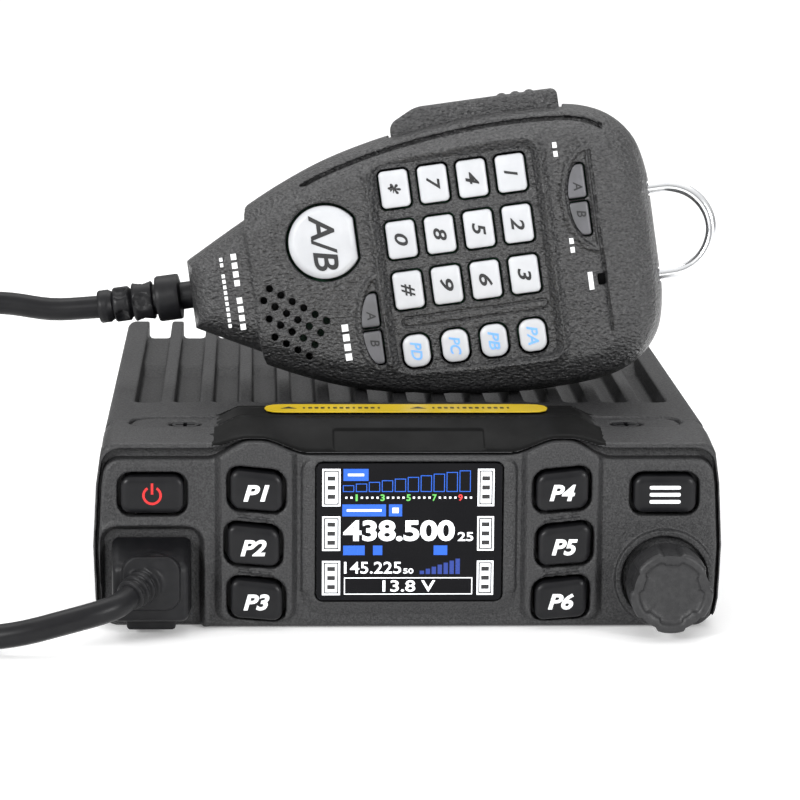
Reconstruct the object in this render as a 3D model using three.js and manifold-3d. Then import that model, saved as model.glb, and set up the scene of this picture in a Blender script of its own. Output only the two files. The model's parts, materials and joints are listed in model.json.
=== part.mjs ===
// Mobile transceiver with its hand microphone standing on the heatsink.
// Millimetres. +X is the radio's right-hand side seen from the front, -Y is the front, +Z is up.
// The origin is the middle of the radio's flat underside.
import * as THREE from 'three';
import { mergeVertices } from 'three/addons/utils/BufferGeometryUtils.js';
import Module from 'manifold-3d';

const wasm = await Module();
wasm.setup();

// ---------------------------------------------------------------- radio body
const bodyWidth = 125.4;
const bodyHeight = 40;
const bodyDepth = 148;
const castingWall = 3;
const cornerRadius = 3;
const humpRise = 2.6;
const humpHalfWidth = 34;
const humpSlopeWidth = 7;

// ---------------------------------------------------------------- heatsink
const channelCount = 14;
const channelPitch = 8.39;
const channelWidth = 5.5;
const channelDepth = 5;
const channelFloor = 2.5;
const channelSetback = 21.5;
const channelCornerRadius = 1.5;

// ---------------------------------------------------------------- front panel
const panelOverhang = 1.9;
const panelDepth = 17.5;
const panelWall = 3.5;
const panelSideWall = 3.5;
const panelFloor = 1;
const panelRoof = 1.1;
const panelCornerRadius = 4;
const lipDepth = 2;
const lipDrop = 1.5;
const faceDrop = 2.2;
const faceInset = 1;
const ridgeRise = 1.6;
const ridgeWidth = 16;
const ridgeX = 31.5;
const ridgeMargin = 1.5;
const tongueHalfWidth = 57.3;
const tongueLength = 10.4;
const tongueForward = 5.3;
const tongueThickness = 3.5;

// ---------------------------------------------------------------- front controls
const keyGap = 0.5;
const keyProud = 1;
const keyRadius = 2;
const flangeMargin = 0.8;
const flangeThickness = 1;
const presetKeyWidth = 10.6;
const presetKeyHeight = 8.6;
const presetKeyPitch = 11.4;
const presetKeyBottomMargin = 6.4;
const presetKeySkew = 1.2;
const middleKeyShift = 0.6;
const wideKeyWidth = 12.8;
const wideKeyHeight = 7.6;
const wideKeySideMargin = 12.2;
const wideKeyTopMargin = 11.8;
const knobSideMargin = 11.9;
const knobZ = 10.5;
const knobRadius = 8.5;
const knobLength = 12;
const knobDishRadius = 6.6;
const knobRingClearance = 0.1;
const knobRingWidth = 1.8;
const spindleRadius = 3;

// ---------------------------------------------------------------- display
const lensWidth = 37.8;
const lensHeight = 28.6;
const lensThickness = 1.5;
const lensBottomMargin = 6.3;
const screenWidth = 35.04;
const screenHeight = 28.03;
const bezelWidth = 44.4;
const bezelHeight = 33.4;
const moduleThickness = 3.6;

// ---------------------------------------------------------------- microphone jack and plug
const jackSideMargin = 12;
const jackZ = 11.3;
const recessWidth = 20.6;
const recessTop = 21.4;
const recessDepth = 2;
const bootWidth = 16.4;
const bootBottom = 3.2;
const bootTop = 19.4;
const bootFrontTop = 15.4;
const bootLength = 11;
const noseWidth = 11.7;
const noseHeight = 8;
const noseLength = 12;
const jackWidth = 13.6;
const jackHeight = 14;

// ---------------------------------------------------------------- boards and rear fittings
const boardThickness = 1.6;
const boardInset = 2;
const mainBoardZ = 8;
const coverThickness = 1.5;
const socketRadius = 8;
const socketLength = 15;
const socketX = 38;
const rearFittingZ = 18;
const glandX = -38;
const glandRadius = 7;
const earJackX = 0;
const earJackRadius = 4.5;
const screwHeadRadius = 2.8;
const screwShankRadius = 1.5;
const screwX = 46;
const screwLength = 6;

// ---------------------------------------------------------------- microphone
const micX = 18.5;
const micY = -18.3;
const micAxisHeight = 29.7;
const micTilt = 6.7;
const micRoll = 8.6;
const micYaw = 5.1;
const micFrontDepth = 14;
const micBackDepth = 16;
const micWall = 2.2;
const micTailEnd = -67;
const micHeadEnd = 37.5;
const micRecessDepth = 0.8;
const micKeyProud = 1.1;
const micKeyGap = 0.3;
const micKeyLength = 5;
const micBoardSetback = 8;
const numberPitchU = 8.4;
const numberPitchV = 10.95;
const numberKeyU = 6.2;
const numberKeyV = 8;
const letterKeyU = 5.7;
const letterKeyV = 6.9;
const letterKeyMiddleV = -18.3;
const keypadFirstU = -16.8;
const keypadTopV = 16.8;
const bigKeyU = -33.6;
const bigKeyV = 7.8;
const bigKeyRadius = 7.9;
const bigKeyFlat = 6.6;
const moonKeyU = 3.2;
const moonKeyV = 7.2;
const moonPitch = 7.8;
const pttLength = 37;
const pttThickness = 11;
const pttTravel = 2.2;
const pttProud = 3;
const pttMiddleU = 2;
const ringReach = 13.5;
const ringHalfWidth = 9.4;
const ringBand = 2.4;
const ringSlotHalf = 4.8;
const reliefRadius = 5;
const reliefLength = 18;
const reliefNeckRadius = 3;

// ---------------------------------------------------------------- cord
const cordDiameter = 5;
const curlOuterDiameter = 16.5;
const tubeSides = 8;

// ---------------------------------------------------------------- fits
const gap = 0.3;

// ---------------------------------------------------------------- derived places
const frontY = -bodyDepth / 2;
const backY = bodyDepth / 2;
const splitY = frontY + panelDepth;
const ridgeY = frontY - ridgeRise;
const wallBackY = frontY + panelWall;
const panelHalfWidth = bodyWidth / 2 + panelOverhang;
const knobX = panelHalfWidth - knobSideMargin;
const knobRingRadius = knobRadius + knobRingClearance + knobRingWidth;
const wideKeyX = panelHalfWidth - wideKeySideMargin;
const wideKeyZ = bodyHeight - wideKeyTopMargin;
const presetKeyMiddleZ = presetKeyBottomMargin + presetKeyPitch;
const lensMiddleZ = lensBottomMargin + lensHeight / 2;
const jackX = -(panelHalfWidth - jackSideMargin);
const cavityTop = bodyHeight - channelDepth - channelFloor;
const tongueFrontY = splitY - tongueForward;
const tongueBackY = tongueFrontY + tongueLength;
const tongueUnderZ = bodyHeight - tongueThickness;

// ---------------------------------------------------------------- colours and finishes
const blackPlastic = { color: 0x2a2a2b, roughness: 0.62, metalness: 0 };
const blackPaint = { color: 0x303132, roughness: 0.55, metalness: 0.2 };
const blackRubber = { color: 0x1c1c1d, roughness: 0.7, metalness: 0 };
const smoothBlack = { color: 0x242425, roughness: 0.4, metalness: 0 };
const glossyBlack = { color: 0x08080a, roughness: 0.08, metalness: 0 };
const whitePlastic = { color: 0xe6e7e9, roughness: 0.4, metalness: 0 };
const greyPlastic = { color: 0x6d6f72, roughness: 0.5, metalness: 0 };
const boardGreen = { color: 0x1e5a3a, roughness: 0.5, metalness: 0 };
const brightSteel = { color: 0xd8dadd, roughness: 0.2, metalness: 1 };
const dullSteel = { color: 0x9a9ca0, roughness: 0.4, metalness: 1 };
const yellowLabel = { color: 0xf2c40f, roughness: 0.5, metalness: 0 };

// ---------------------------------------------------------------- solids from geometry
function toSolid(geometry) {
  const bare = geometry.clone();
  bare.deleteAttribute('normal');
  bare.deleteAttribute('uv');
  const merged = mergeVertices(bare, 1e-4);
  const position = merged.attributes.position;
  const index = Array.from(merged.index.array);
  const a = new THREE.Vector3();
  const b = new THREE.Vector3();
  const c = new THREE.Vector3();
  let volume = 0;
  for (let i = 0; i < index.length; i += 3) {
    a.fromBufferAttribute(position, index[i]);
    b.fromBufferAttribute(position, index[i + 1]);
    c.fromBufferAttribute(position, index[i + 2]);
    volume += a.dot(b.cross(c));
  }
  if (volume < 0) {
    index.reverse();
  }
  const vertProperties = new Float32Array(position.array);
  return new wasm.Manifold(new wasm.Mesh({ numProp: 3, vertProperties, triVerts: new Uint32Array(index) }));
}

function toGeometry(solid) {
  const mesh = solid.getMesh();
  const geometry = new THREE.BufferGeometry();
  geometry.setAttribute('position', new THREE.BufferAttribute(new Float32Array(mesh.vertProperties), 3));
  geometry.setIndex(new THREE.BufferAttribute(new Uint32Array(mesh.triVerts), 1));
  geometry.computeVertexNormals();
  return geometry;
}

function addPiece(group, name, solid, finish) {
  const mesh = new THREE.Mesh(toGeometry(solid), new THREE.MeshStandardMaterial(finish));
  mesh.name = name;
  group.add(mesh);
}

function joined(solids) {
  return solids.reduce((sum, solid) => sum.add(solid));
}

function cutBy(solid, tools) {
  return tools.reduce((rest, tool) => rest.subtract(tool), solid);
}

function box(x0, x1, y0, y1, z0, z1) {
  const geometry = new THREE.BoxGeometry(x1 - x0, y1 - y0, z1 - z0);
  geometry.translate((x0 + x1) / 2, (y0 + y1) / 2, (z0 + z1) / 2);
  return toSolid(geometry);
}

// ---------------------------------------------------------------- outlines
function roundedOutline(corners, radius) {
  const shape = new THREE.Shape();
  const count = corners.length;
  for (let i = 0; i < count; i += 1) {
    const corner = corners[i];
    const before = corners[(i + count - 1) % count].clone().sub(corner);
    const after = corners[(i + 1) % count].clone().sub(corner);
    const reach = Math.min(radius, before.length() / 2.1, after.length() / 2.1);
    const start = corner.clone().add(before.setLength(reach));
    const end = corner.clone().add(after.setLength(reach));
    if (i === 0) {
      shape.moveTo(start.x, start.y);
    } else {
      shape.lineTo(start.x, start.y);
    }
    shape.quadraticCurveTo(corner.x, corner.y, end.x, end.y);
  }
  shape.closePath();
  return shape;
}

function rectangle(x, z, width, height, radius) {
  const corners = [
    new THREE.Vector2(x - width / 2, z - height / 2),
    new THREE.Vector2(x + width / 2, z - height / 2),
    new THREE.Vector2(x + width / 2, z + height / 2),
    new THREE.Vector2(x - width / 2, z + height / 2),
  ];
  return roundedOutline(corners, radius);
}

// A key whose top edge falls towards the middle of the panel, by skew over its width.
function slantedKey(x, z, width, height, skew, margin) {
  const side = Math.sign(x);
  const halfWidth = width / 2 + margin;
  const halfHeight = height / 2 + margin;
  const inner = x - side * halfWidth;
  const outer = x + side * halfWidth;
  const corners = [
    new THREE.Vector2(inner, z - halfHeight),
    new THREE.Vector2(outer, z - halfHeight),
    new THREE.Vector2(outer, z + halfHeight + skew / 2),
    new THREE.Vector2(inner, z + halfHeight - skew / 2),
  ];
  return roundedOutline(corners, keyRadius + margin);
}

// ---------------------------------------------------------------- extrusions and turnings
function alongY(shape, y0, y1, curveSegments = 3) {
  const geometry = new THREE.ExtrudeGeometry(shape, { depth: y1 - y0, bevelEnabled: false, curveSegments });
  geometry.rotateX(Math.PI / 2);
  geometry.translate(0, y1, 0);
  return toSolid(geometry);
}

function alongZ(shape, z0, z1, curveSegments = 3) {
  const geometry = new THREE.ExtrudeGeometry(shape, { depth: z1 - z0, bevelEnabled: false, curveSegments });
  geometry.translate(0, 0, z0);
  return toSolid(geometry);
}

// Turned about an axis that is parallel to Y. The profile lists [radius, y].
function turned(profile, x, z, segments) {
  const points = profile.map(([radius, y]) => new THREE.Vector2(radius, y));
  const geometry = new THREE.LatheGeometry(points, segments);
  geometry.translate(x, 0, z);
  return toSolid(geometry);
}

function pinY(x, z, radius, y0, y1, segments = 16) {
  return turned([[0, y0], [radius, y0], [radius, y1], [0, y1]], x, z, segments);
}

function pinZ(x, y, radius, z0, z1, segments = 12) {
  const geometry = new THREE.CylinderGeometry(radius, radius, z1 - z0, segments);
  geometry.rotateX(Math.PI / 2);
  geometry.translate(x, y, (z0 + z1) / 2);
  return toSolid(geometry);
}

function tube(points, diameter, steps) {
  const section = new THREE.Shape();
  for (let i = 0; i < tubeSides; i += 1) {
    const angle = (2 * Math.PI * i) / tubeSides;
    const x = (diameter / 2) * Math.cos(angle);
    const y = (diameter / 2) * Math.sin(angle);
    if (i === 0) {
      section.moveTo(x, y);
    } else {
      section.lineTo(x, y);
    }
  }
  section.closePath();
  const route = new THREE.CatmullRomCurve3(points.map((point) => new THREE.Vector3(...point)), false, 'centripetal');
  return toSolid(new THREE.ExtrudeGeometry(section, { steps, extrudePath: route, bevelEnabled: false }));
}

// A skin over closed rings that all have the same number of points, with a fan over each end.
function loft(rings) {
  const count = rings[0].length;
  const positions = rings.flat().flatMap((point) => [point.x, point.y, point.z]);
  const index = [];
  for (let ring = 0; ring < rings.length - 1; ring += 1) {
    for (let i = 0; i < count; i += 1) {
      const here = ring * count + i;
      const next = ring * count + ((i + 1) % count);
      index.push(here, next, here + count, next, next + count, here + count);
    }
  }
  for (const ring of [0, rings.length - 1]) {
    const middle = rings[ring].reduce((sum, point) => sum.add(point), new THREE.Vector3()).divideScalar(count);
    const centre = positions.length / 3;
    positions.push(middle.x, middle.y, middle.z);
    for (let i = 0; i < count; i += 1) {
      const here = ring * count + i;
      const next = ring * count + ((i + 1) % count);
      index.push(...(ring === 0 ? [next, here, centre] : [here, next, centre]));
    }
  }
  const geometry = new THREE.BufferGeometry();
  geometry.setAttribute('position', new THREE.Float32BufferAttribute(positions, 3));
  geometry.setIndex(index);
  return toSolid(geometry);
}

// ---------------------------------------------------------------- body outlines
function smoothStep(t) {
  return t * t * (3 - 2 * t);
}

// One cross-section of the body at y: flat below, rounded corners, and a hump in the middle of the top.
function bodyRing(y, halfWidth, low, sideTop, middleTop, radius) {
  const cornerSteps = 4;
  const slopeSteps = 6;
  const ring = [];
  const corner = (x, z, from) => {
    for (let i = 0; i <= cornerSteps; i += 1) {
      const angle = from + (Math.PI / 2) * (i / cornerSteps);
      ring.push(new THREE.Vector3(x + radius * Math.cos(angle), y, z + radius * Math.sin(angle)));
    }
  };
  corner(halfWidth - radius, low + radius, -Math.PI / 2);
  corner(halfWidth - radius, sideTop - radius, 0);
  for (const side of [1, -1]) {
    for (let i = 0; i <= slopeSteps; i += 1) {
      const t = side > 0 ? i / slopeSteps : 1 - i / slopeSteps;
      const x = side * (humpHalfWidth + humpSlopeWidth * (1 - t));
      ring.push(new THREE.Vector3(x, y, sideTop + (middleTop - sideTop) * smoothStep(t)));
    }
  }
  corner(-(halfWidth - radius), sideTop - radius, Math.PI / 2);
  corner(-(halfWidth - radius), low + radius, Math.PI);
  return ring;
}

function stadium(halfWidth, y0, y1) {
  return roundedOutline([
    new THREE.Vector2(-halfWidth, y0),
    new THREE.Vector2(halfWidth, y0),
    new THREE.Vector2(halfWidth, y1),
    new THREE.Vector2(-halfWidth, y1),
  ], (y1 - y0) / 2.1);
}

// ---------------------------------------------------------------- front panel
const presetKeys = [];
for (const side of [-1, 1]) {
  for (const row of [1, 0, -1]) {
    presetKeys.push({
      name: `key_${presetKeys.length + 1}`,
      x: side * (ridgeX + (row === 0 ? middleKeyShift : 0) - 0.3),
      z: presetKeyMiddleZ + row * presetKeyPitch,
      width: presetKeyWidth,
      height: presetKeyHeight,
      skew: presetKeySkew,
      front: ridgeY - keyProud,
    });
  }
}
const wideKeys = ['power_key', 'menu_key'].map((name, i) => ({
  name,
  x: (i === 0 ? -1 : 1) * wideKeyX,
  z: wideKeyZ,
  width: wideKeyWidth,
  height: wideKeyHeight,
  skew: 0,
  front: frontY - keyProud,
}));
const frontKeys = [...wideKeys, ...presetKeys];

function keySolid(key) {
  const cap = slantedKey(key.x, key.z, key.width, key.height, key.skew, 0);
  const flange = slantedKey(key.x, key.z, key.width, key.height, key.skew, flangeMargin);
  const flangeY = wallBackY + gap;
  return alongY(cap, key.front, flangeY + flangeThickness).add(alongY(flange, flangeY, flangeY + flangeThickness));
}

function keyWell(key) {
  const outline = slantedKey(key.x, key.z, key.width, key.height, key.skew, keyGap);
  return alongY(outline, ridgeY - 1, wallBackY + 1);
}

function frontPanel() {
  const humpTop = bodyHeight + humpRise;
  const lipZ = bodyHeight - lipDrop;
  const faceTop = bodyHeight - faceDrop;
  const outer = loft([
    bodyRing(frontY, panelHalfWidth - faceInset, faceInset / 2, faceTop, faceTop, panelCornerRadius),
    bodyRing(frontY + lipDepth, panelHalfWidth, 0, lipZ, lipZ, panelCornerRadius),
    bodyRing(tongueFrontY, panelHalfWidth, 0, bodyHeight - 0.5, humpTop, panelCornerRadius),
    bodyRing(splitY, panelHalfWidth - 0.4, 0, bodyHeight, humpTop, panelCornerRadius),
  ]);
  const insideTop = tongueUnderZ - gap - panelRoof;
  const inside = rectangle(
    0, (insideTop + panelFloor) / 2, 2 * (panelHalfWidth - panelSideWall), insideTop - panelFloor, 2,
  );
  const ridges = [-1, 1].map((side) => alongY(
    rectangle(side * ridgeX, bodyHeight / 2, ridgeWidth, bodyHeight - 2 * ridgeMargin, 2),
    ridgeY, frontY + 1,
  ));
  const bezel = alongY(rectangle(0, lensMiddleZ - 1, bezelWidth, bezelHeight, 3), ridgeY, frontY + 1);
  const ring = pinY(knobX, knobZ, knobRingRadius, ridgeY, frontY + 1, 32)
    .subtract(pinY(knobX, knobZ, knobRingRadius - knobRingWidth, ridgeY - 1, frontY, 32));
  const screwTabs = [-1, 1].map((side) => box(
    side * screwX - 5, side * screwX + 5, tongueFrontY - 1, splitY + 3, tongueUnderZ - gap - 3, tongueUnderZ - gap,
  ));
  const body = joined([cutBy(outer, [alongY(inside, wallBackY, splitY + 1)]), ...ridges, bezel, ring, ...screwTabs]);
  const recessHigh = recessTop + 10;
  const recess = rectangle(jackX, recessTop - recessHigh / 2, recessWidth, recessHigh, 3);
  const lensSeat = rectangle(0, lensMiddleZ, lensWidth + 2 * gap, lensHeight + 2 * gap, 1.5);
  return cutBy(body, [
    alongZ(stadium(tongueHalfWidth + gap, tongueFrontY - gap, tongueBackY), tongueUnderZ - gap, humpTop + 1),
    alongY(lensSeat, ridgeY - 1, ridgeY + lensThickness + gap),
    alongY(rectangle(0, lensMiddleZ, screenWidth, screenHeight - 1, 0.5), ridgeY, wallBackY + 1),
    alongY(recess, ridgeY - 1, frontY + recessDepth),
    alongY(rectangle(jackX, jackZ, noseWidth + 2 * gap, noseHeight + 2 * gap, 0.5), frontY, wallBackY + 1),
    pinY(knobX, knobZ, spindleRadius + 2, frontY - 1, wallBackY + 1),
    ...frontKeys.map(keyWell),
    ...[-1, 1].map((side) => pinZ(side * screwX, splitY - 1, screwShankRadius + gap, 20, humpTop)),
  ]);
}

function tuningKnob() {
  const base = ridgeY + 0.6;
  const front = ridgeY - knobLength;
  return joined([
    turned([
      [0, base], [knobRadius - 1.2, base], [knobRadius - 1.2, base - 2], [knobRadius - 0.6, base - 2.4],
      [knobRadius, base - 5], [knobRadius, front + 1.2], [knobRadius - 0.8, front],
      [knobDishRadius, front], [knobDishRadius - 0.8, front + 0.8], [0, front + 0.8],
    ], knobX, knobZ, 32),
    pinY(knobX, knobZ, spindleRadius, base - 1, wallBackY + 2.6),
  ]);
}

function encoder() {
  const y0 = wallBackY + gap;
  const body = alongY(rectangle(knobX, knobZ, 12, 12, 1), y0, y0 + 3.6);
  const bushing = pinY(knobX, knobZ, spindleRadius + 1.6, frontY + 1, y0 + 1);
  return body.add(bushing).subtract(pinY(knobX, knobZ, spindleRadius + gap, frontY, y0 + 2.8));
}

// ---------------------------------------------------------------- chassis
function chassis() {
  const startY = splitY + gap;
  const humpTop = bodyHeight + humpRise;
  const shellRing = (y) => bodyRing(y, bodyWidth / 2, 0, bodyHeight, bodyHeight, cornerRadius);
  const humpRing = (y) => bodyRing(y, bodyWidth / 2 - 8, tongueUnderZ, bodyHeight, humpTop, 1);
  const channels = [];
  for (let i = 0; i < channelCount; i += 1) {
    const x = (i - (channelCount - 1) / 2) * channelPitch;
    const y0 = splitY + channelSetback;
    const length = backY - y0 + 20;
    const outline = rectangle(x, y0 + length / 2, channelWidth, length, channelCornerRadius);
    channels.push(alongZ(outline, bodyHeight - channelDepth, bodyHeight + 1, 2));
  }
  const cavityHalf = bodyWidth / 2 - castingWall;
  const rearHole = (x, radius) => pinY(x, rearFittingZ, radius + gap, backY - castingWall - 1, backY + 1);
  const screwHoles = [-1, 1].flatMap((side) => [
    pinZ(side * screwX, splitY - 1, screwShankRadius + gap, tongueUnderZ - 1, humpTop),
    pinZ(side * screwX, splitY - 1, screwHeadRadius + gap, bodyHeight - 2, humpTop),
  ]);
  const stripShape = stadium(tongueHalfWidth, tongueFrontY, tongueBackY);
  const strip = loft([humpRing(tongueFrontY), humpRing(tongueBackY)]).intersect(
    alongZ(stripShape, tongueUnderZ - 1, humpTop + 1),
  );
  const bank = loft([humpRing(splitY + gap), humpRing(tongueBackY), shellRing(tongueBackY + 3)]);
  const solid = joined([loft([shellRing(startY), shellRing(backY)]), strip, bank.intersect(
    box(-bodyWidth, bodyWidth, startY, backY, tongueUnderZ, humpTop + 1),
  )]);
  return cutBy(solid, [
    box(-cavityHalf, cavityHalf, splitY - 1, backY - castingWall, -1, cavityTop),
    box(-cavityHalf, cavityHalf, splitY - 1, splitY + tongueLength, cavityTop - 1, tongueUnderZ),
    rearHole(socketX, socketRadius - 1),
    rearHole(glandX, glandRadius - 1),
    rearHole(earJackX, earJackRadius - 1),
    ...channels,
    ...screwHoles,
  ]);
}

function panelScrew(side) {
  const top = bodyHeight - 0.5;
  const x = side * screwX;
  const y = splitY - 1;
  return pinZ(x, y, screwHeadRadius, bodyHeight - 2 + gap, top)
    .add(pinZ(x, y, screwShankRadius, top - screwLength, bodyHeight - 1))
    .subtract(box(x - 2, x + 2, y - 0.4, y + 0.4, top - 0.8, top + 1))
    .subtract(box(x - 0.4, x + 0.4, y - 2, y + 2, top - 0.8, top + 1));
}

// A round rear fitting: a flange outside the wall, and a body through it. The bore leaves it open.
function rearFitting(x, radius, length, boreRadius, boreDepth) {
  const flangeY = backY + gap;
  const inner = backY - castingWall - 4;
  return pinY(x, rearFittingZ, radius, flangeY, flangeY + 2)
    .add(pinY(x, rearFittingZ, radius - 1, inner, backY + length))
    .subtract(pinY(x, rearFittingZ, boreRadius, backY + length - boreDepth, backY + length + 1));
}

// ---------------------------------------------------------------- radio, put together
const radio = new THREE.Group();
addPiece(radio, 'front_panel', frontPanel(), blackPlastic);
for (const key of frontKeys) {
  addPiece(radio, key.name, keySolid(key), smoothBlack);
}
addPiece(radio, 'tuning_knob', tuningKnob(), blackRubber);
addPiece(radio, 'encoder', encoder(), dullSteel);
addPiece(radio, 'display_lens', alongY(
  rectangle(0, lensMiddleZ, lensWidth, lensHeight, 1.2), ridgeY, ridgeY + lensThickness,
), glossyBlack);
const moduleY = wallBackY + gap;
addPiece(radio, 'lcd_module', alongY(
  rectangle(0, lensMiddleZ - 1.4, screenWidth + 6, screenHeight + 3, 0.5), moduleY, moduleY + moduleThickness,
), dullSteel);
const controlBoardY = moduleY + moduleThickness + gap;
const controlBoardLeft = jackX + jackWidth / 2 + boardInset;
const controlBoardRight = panelHalfWidth - panelSideWall - boardInset;
addPiece(radio, 'control_board', alongY(
  rectangle(
    (controlBoardLeft + controlBoardRight) / 2, bodyHeight / 2 - 1, controlBoardRight - controlBoardLeft,
    bodyHeight - 10, 1,
  ),
  controlBoardY, controlBoardY + boardThickness,
), boardGreen);
addPiece(radio, 'mic_jack', alongY(
  rectangle(jackX, jackZ, jackWidth, jackHeight, 0.5), wallBackY + gap, splitY - gap,
).subtract(alongY(
  rectangle(jackX, jackZ, noseWidth + 2 * gap, noseHeight + 2 * gap, 0.5),
  wallBackY, wallBackY + noseLength,
)), blackPlastic);
addPiece(radio, 'chassis', chassis(), blackPaint);
const coverHalf = bodyWidth / 2 - castingWall - gap;
addPiece(radio, 'bottom_cover', box(
  -coverHalf, coverHalf, splitY + gap, backY - castingWall - gap, 0, coverThickness,
), blackPaint);
const boardFrontY = splitY + 6;
const boardBackY = backY - castingWall - 6;
addPiece(radio, 'main_board', box(
  -coverHalf + boardInset, coverHalf - boardInset, boardFrontY, boardBackY, mainBoardZ, mainBoardZ + boardThickness,
), boardGreen);
const shieldZ = mainBoardZ + boardThickness + gap;
addPiece(radio, 'rf_shield', box(5, 50, boardFrontY + 30, boardBackY - 10, shieldZ, shieldZ + 12), brightSteel);
const speakerY = boardFrontY + 30;
addPiece(radio, 'speaker', pinZ(-28, speakerY, 18, shieldZ + 2, shieldZ + 14, 24), blackPaint);
addPiece(radio, 'antenna_socket', rearFitting(socketX, socketRadius, socketLength, 2, 8), brightSteel);
addPiece(radio, 'power_inlet', rearFitting(glandX, glandRadius, 8, 3, 6), blackRubber);
addPiece(radio, 'speaker_jack', rearFitting(earJackX, earJackRadius, 3, 1.8, 8), dullSteel);
addPiece(radio, 'panel_screw_left', panelScrew(-1), dullSteel);
addPiece(radio, 'panel_screw_right', panelScrew(1), dullSteel);
const labelHalf = humpHalfWidth - 4.5;
const labelZ = bodyHeight + humpRise + gap / 10;
addPiece(radio, 'heat_label', alongZ(
  stadium(labelHalf, tongueFrontY + 1, tongueBackY - 1), labelZ, labelZ + 0.2,
), yellowLabel);

// ---------------------------------------------------------------- microphone, in its own frame
// u runs along the microphone from the cord end to the hanger ring, v runs across it, and y runs from
// the keypad face at the front to the back. y = 0 is the joint between the two shells.
const halfWidths = [
  [-67, 7], [-58.5, 11.5], [-50.3, 16.3], [-42.7, 21.1], [-33.7, 24.7], [-25.8, 26.9],
  [-15, 29], [0, 30.6], [12, 30.8], [24.5, 29.6], [31.2, 26.4], [35.6, 21], [37.5, 13],
];

// The microphone's outline at a given y, drawn in by inset on every side.
function micRing(y, inset) {
  const upper = halfWidths.map(([u, half]) => new THREE.Vector2(u, half));
  const lower = halfWidths.map(([u, half]) => new THREE.Vector2(u, -half)).reverse();
  const outline = [...upper, ...lower];
  const count = outline.length;
  return outline.map((point, i) => {
    const before = outline[(i + count - 1) % count];
    const after = outline[(i + 1) % count];
    const along = after.clone().sub(before).normalize();
    return new THREE.Vector3(point.x + along.y * inset, y, point.y - along.x * inset);
  });
}

const faceY = -micFrontDepth;
const padY = faceY + micRecessDepth;
const numberNames = [
  ['star', '7', '4', '1'],
  ['0', '8', '5', '2'],
  ['hash', '9', '6', '3'],
];
const micKeys = [];
numberNames.forEach((row, j) => row.forEach((label, i) => micKeys.push({
  name: `mic_key_${label}`,
  outline: (margin) => rectangle(
    keypadFirstU + i * numberPitchU, keypadTopV - j * numberPitchV,
    numberKeyU + 2 * margin, numberKeyV + 2 * margin, 1 + margin,
  ),
  finish: whitePlastic,
})));
['d', 'c', 'b', 'a'].forEach((label, i) => micKeys.push({
  name: `mic_key_${label}`,
  outline: (margin) => rectangle(
    keypadFirstU + i * numberPitchU, letterKeyMiddleV,
    letterKeyU + 2 * margin, letterKeyV + 2 * margin, 2.2 + margin,
  ),
  finish: whitePlastic,
}));
micKeys.push({
  name: 'mic_swap_key',
  outline: (margin) => {
    const shape = new THREE.Shape();
    const radius = bigKeyRadius + margin;
    const cut = Math.acos((bigKeyFlat + margin) / radius);
    shape.absarc(bigKeyU, bigKeyV, radius, cut, 2 * Math.PI - cut, false);
    shape.closePath();
    return shape;
  },
  curveSegments: 10,
  finish: whitePlastic,
});
const moonPlaces = [
  { name: 'mic_main_key_upper', u: -24.8, v: -12.5, side: 1 },
  { name: 'mic_main_key_lower', u: -24.8, v: -12.5, side: -1 },
  { name: 'mic_side_key_upper', u: 22.8, v: 9.1, side: 1 },
  { name: 'mic_side_key_lower', u: 22.8, v: 9.1, side: -1 },
];
for (const moon of moonPlaces) {
  micKeys.push({
    name: moon.name,
    outline: (margin) => rectangle(
      moon.u, moon.v + (moon.side * moonPitch) / 2, moonKeyU + 2 * margin, moonKeyV + 2 * margin, 1.4 + margin,
    ),
    finish: greyPlastic,
  });
}

const pttLow = pttMiddleU - pttLength / 2;
const pttHigh = pttMiddleU + pttLength / 2;
const pttTopV = 30.8 + pttProud;
const pttBottomV = 24;

function pttOutline(margin) {
  return roundedOutline([
    new THREE.Vector2(pttLow - margin, pttBottomV - margin),
    new THREE.Vector2(pttHigh + margin, pttBottomV - margin),
    new THREE.Vector2(pttHigh + margin, pttTopV + margin),
    new THREE.Vector2(pttLow + 6 - margin, pttTopV + margin),
    new THREE.Vector2(pttLow - margin, pttTopV - 3 + margin),
  ], 1.5);
}

function pttPocket(y0, y1) {
  const sweep = rectangle(pttMiddleU, pttBottomV, pttLength + 1.2, 2 * pttTravel, 0.5);
  return alongY(pttOutline(0.6), y0, y1).add(alongY(sweep, y0, y1));
}

// Everything under the heatsink's rib tops, in the microphone's frame: it leaves a flat facet to stand on.
const micTurn = new THREE.Matrix4().makeRotationZ(THREE.MathUtils.degToRad(-micYaw));
micTurn.multiply(new THREE.Matrix4().makeRotationX(THREE.MathUtils.degToRad(-micTilt)));
micTurn.multiply(new THREE.Matrix4().makeRotationY(THREE.MathUtils.degToRad(-micRoll)));

function underTheMicrophone() {
  const geometry = new THREE.BoxGeometry(400, 400, 100);
  geometry.translate(0, 0, gap - micAxisHeight - 50);
  geometry.applyMatrix4(micTurn.clone().invert());
  return toSolid(geometry);
}

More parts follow.
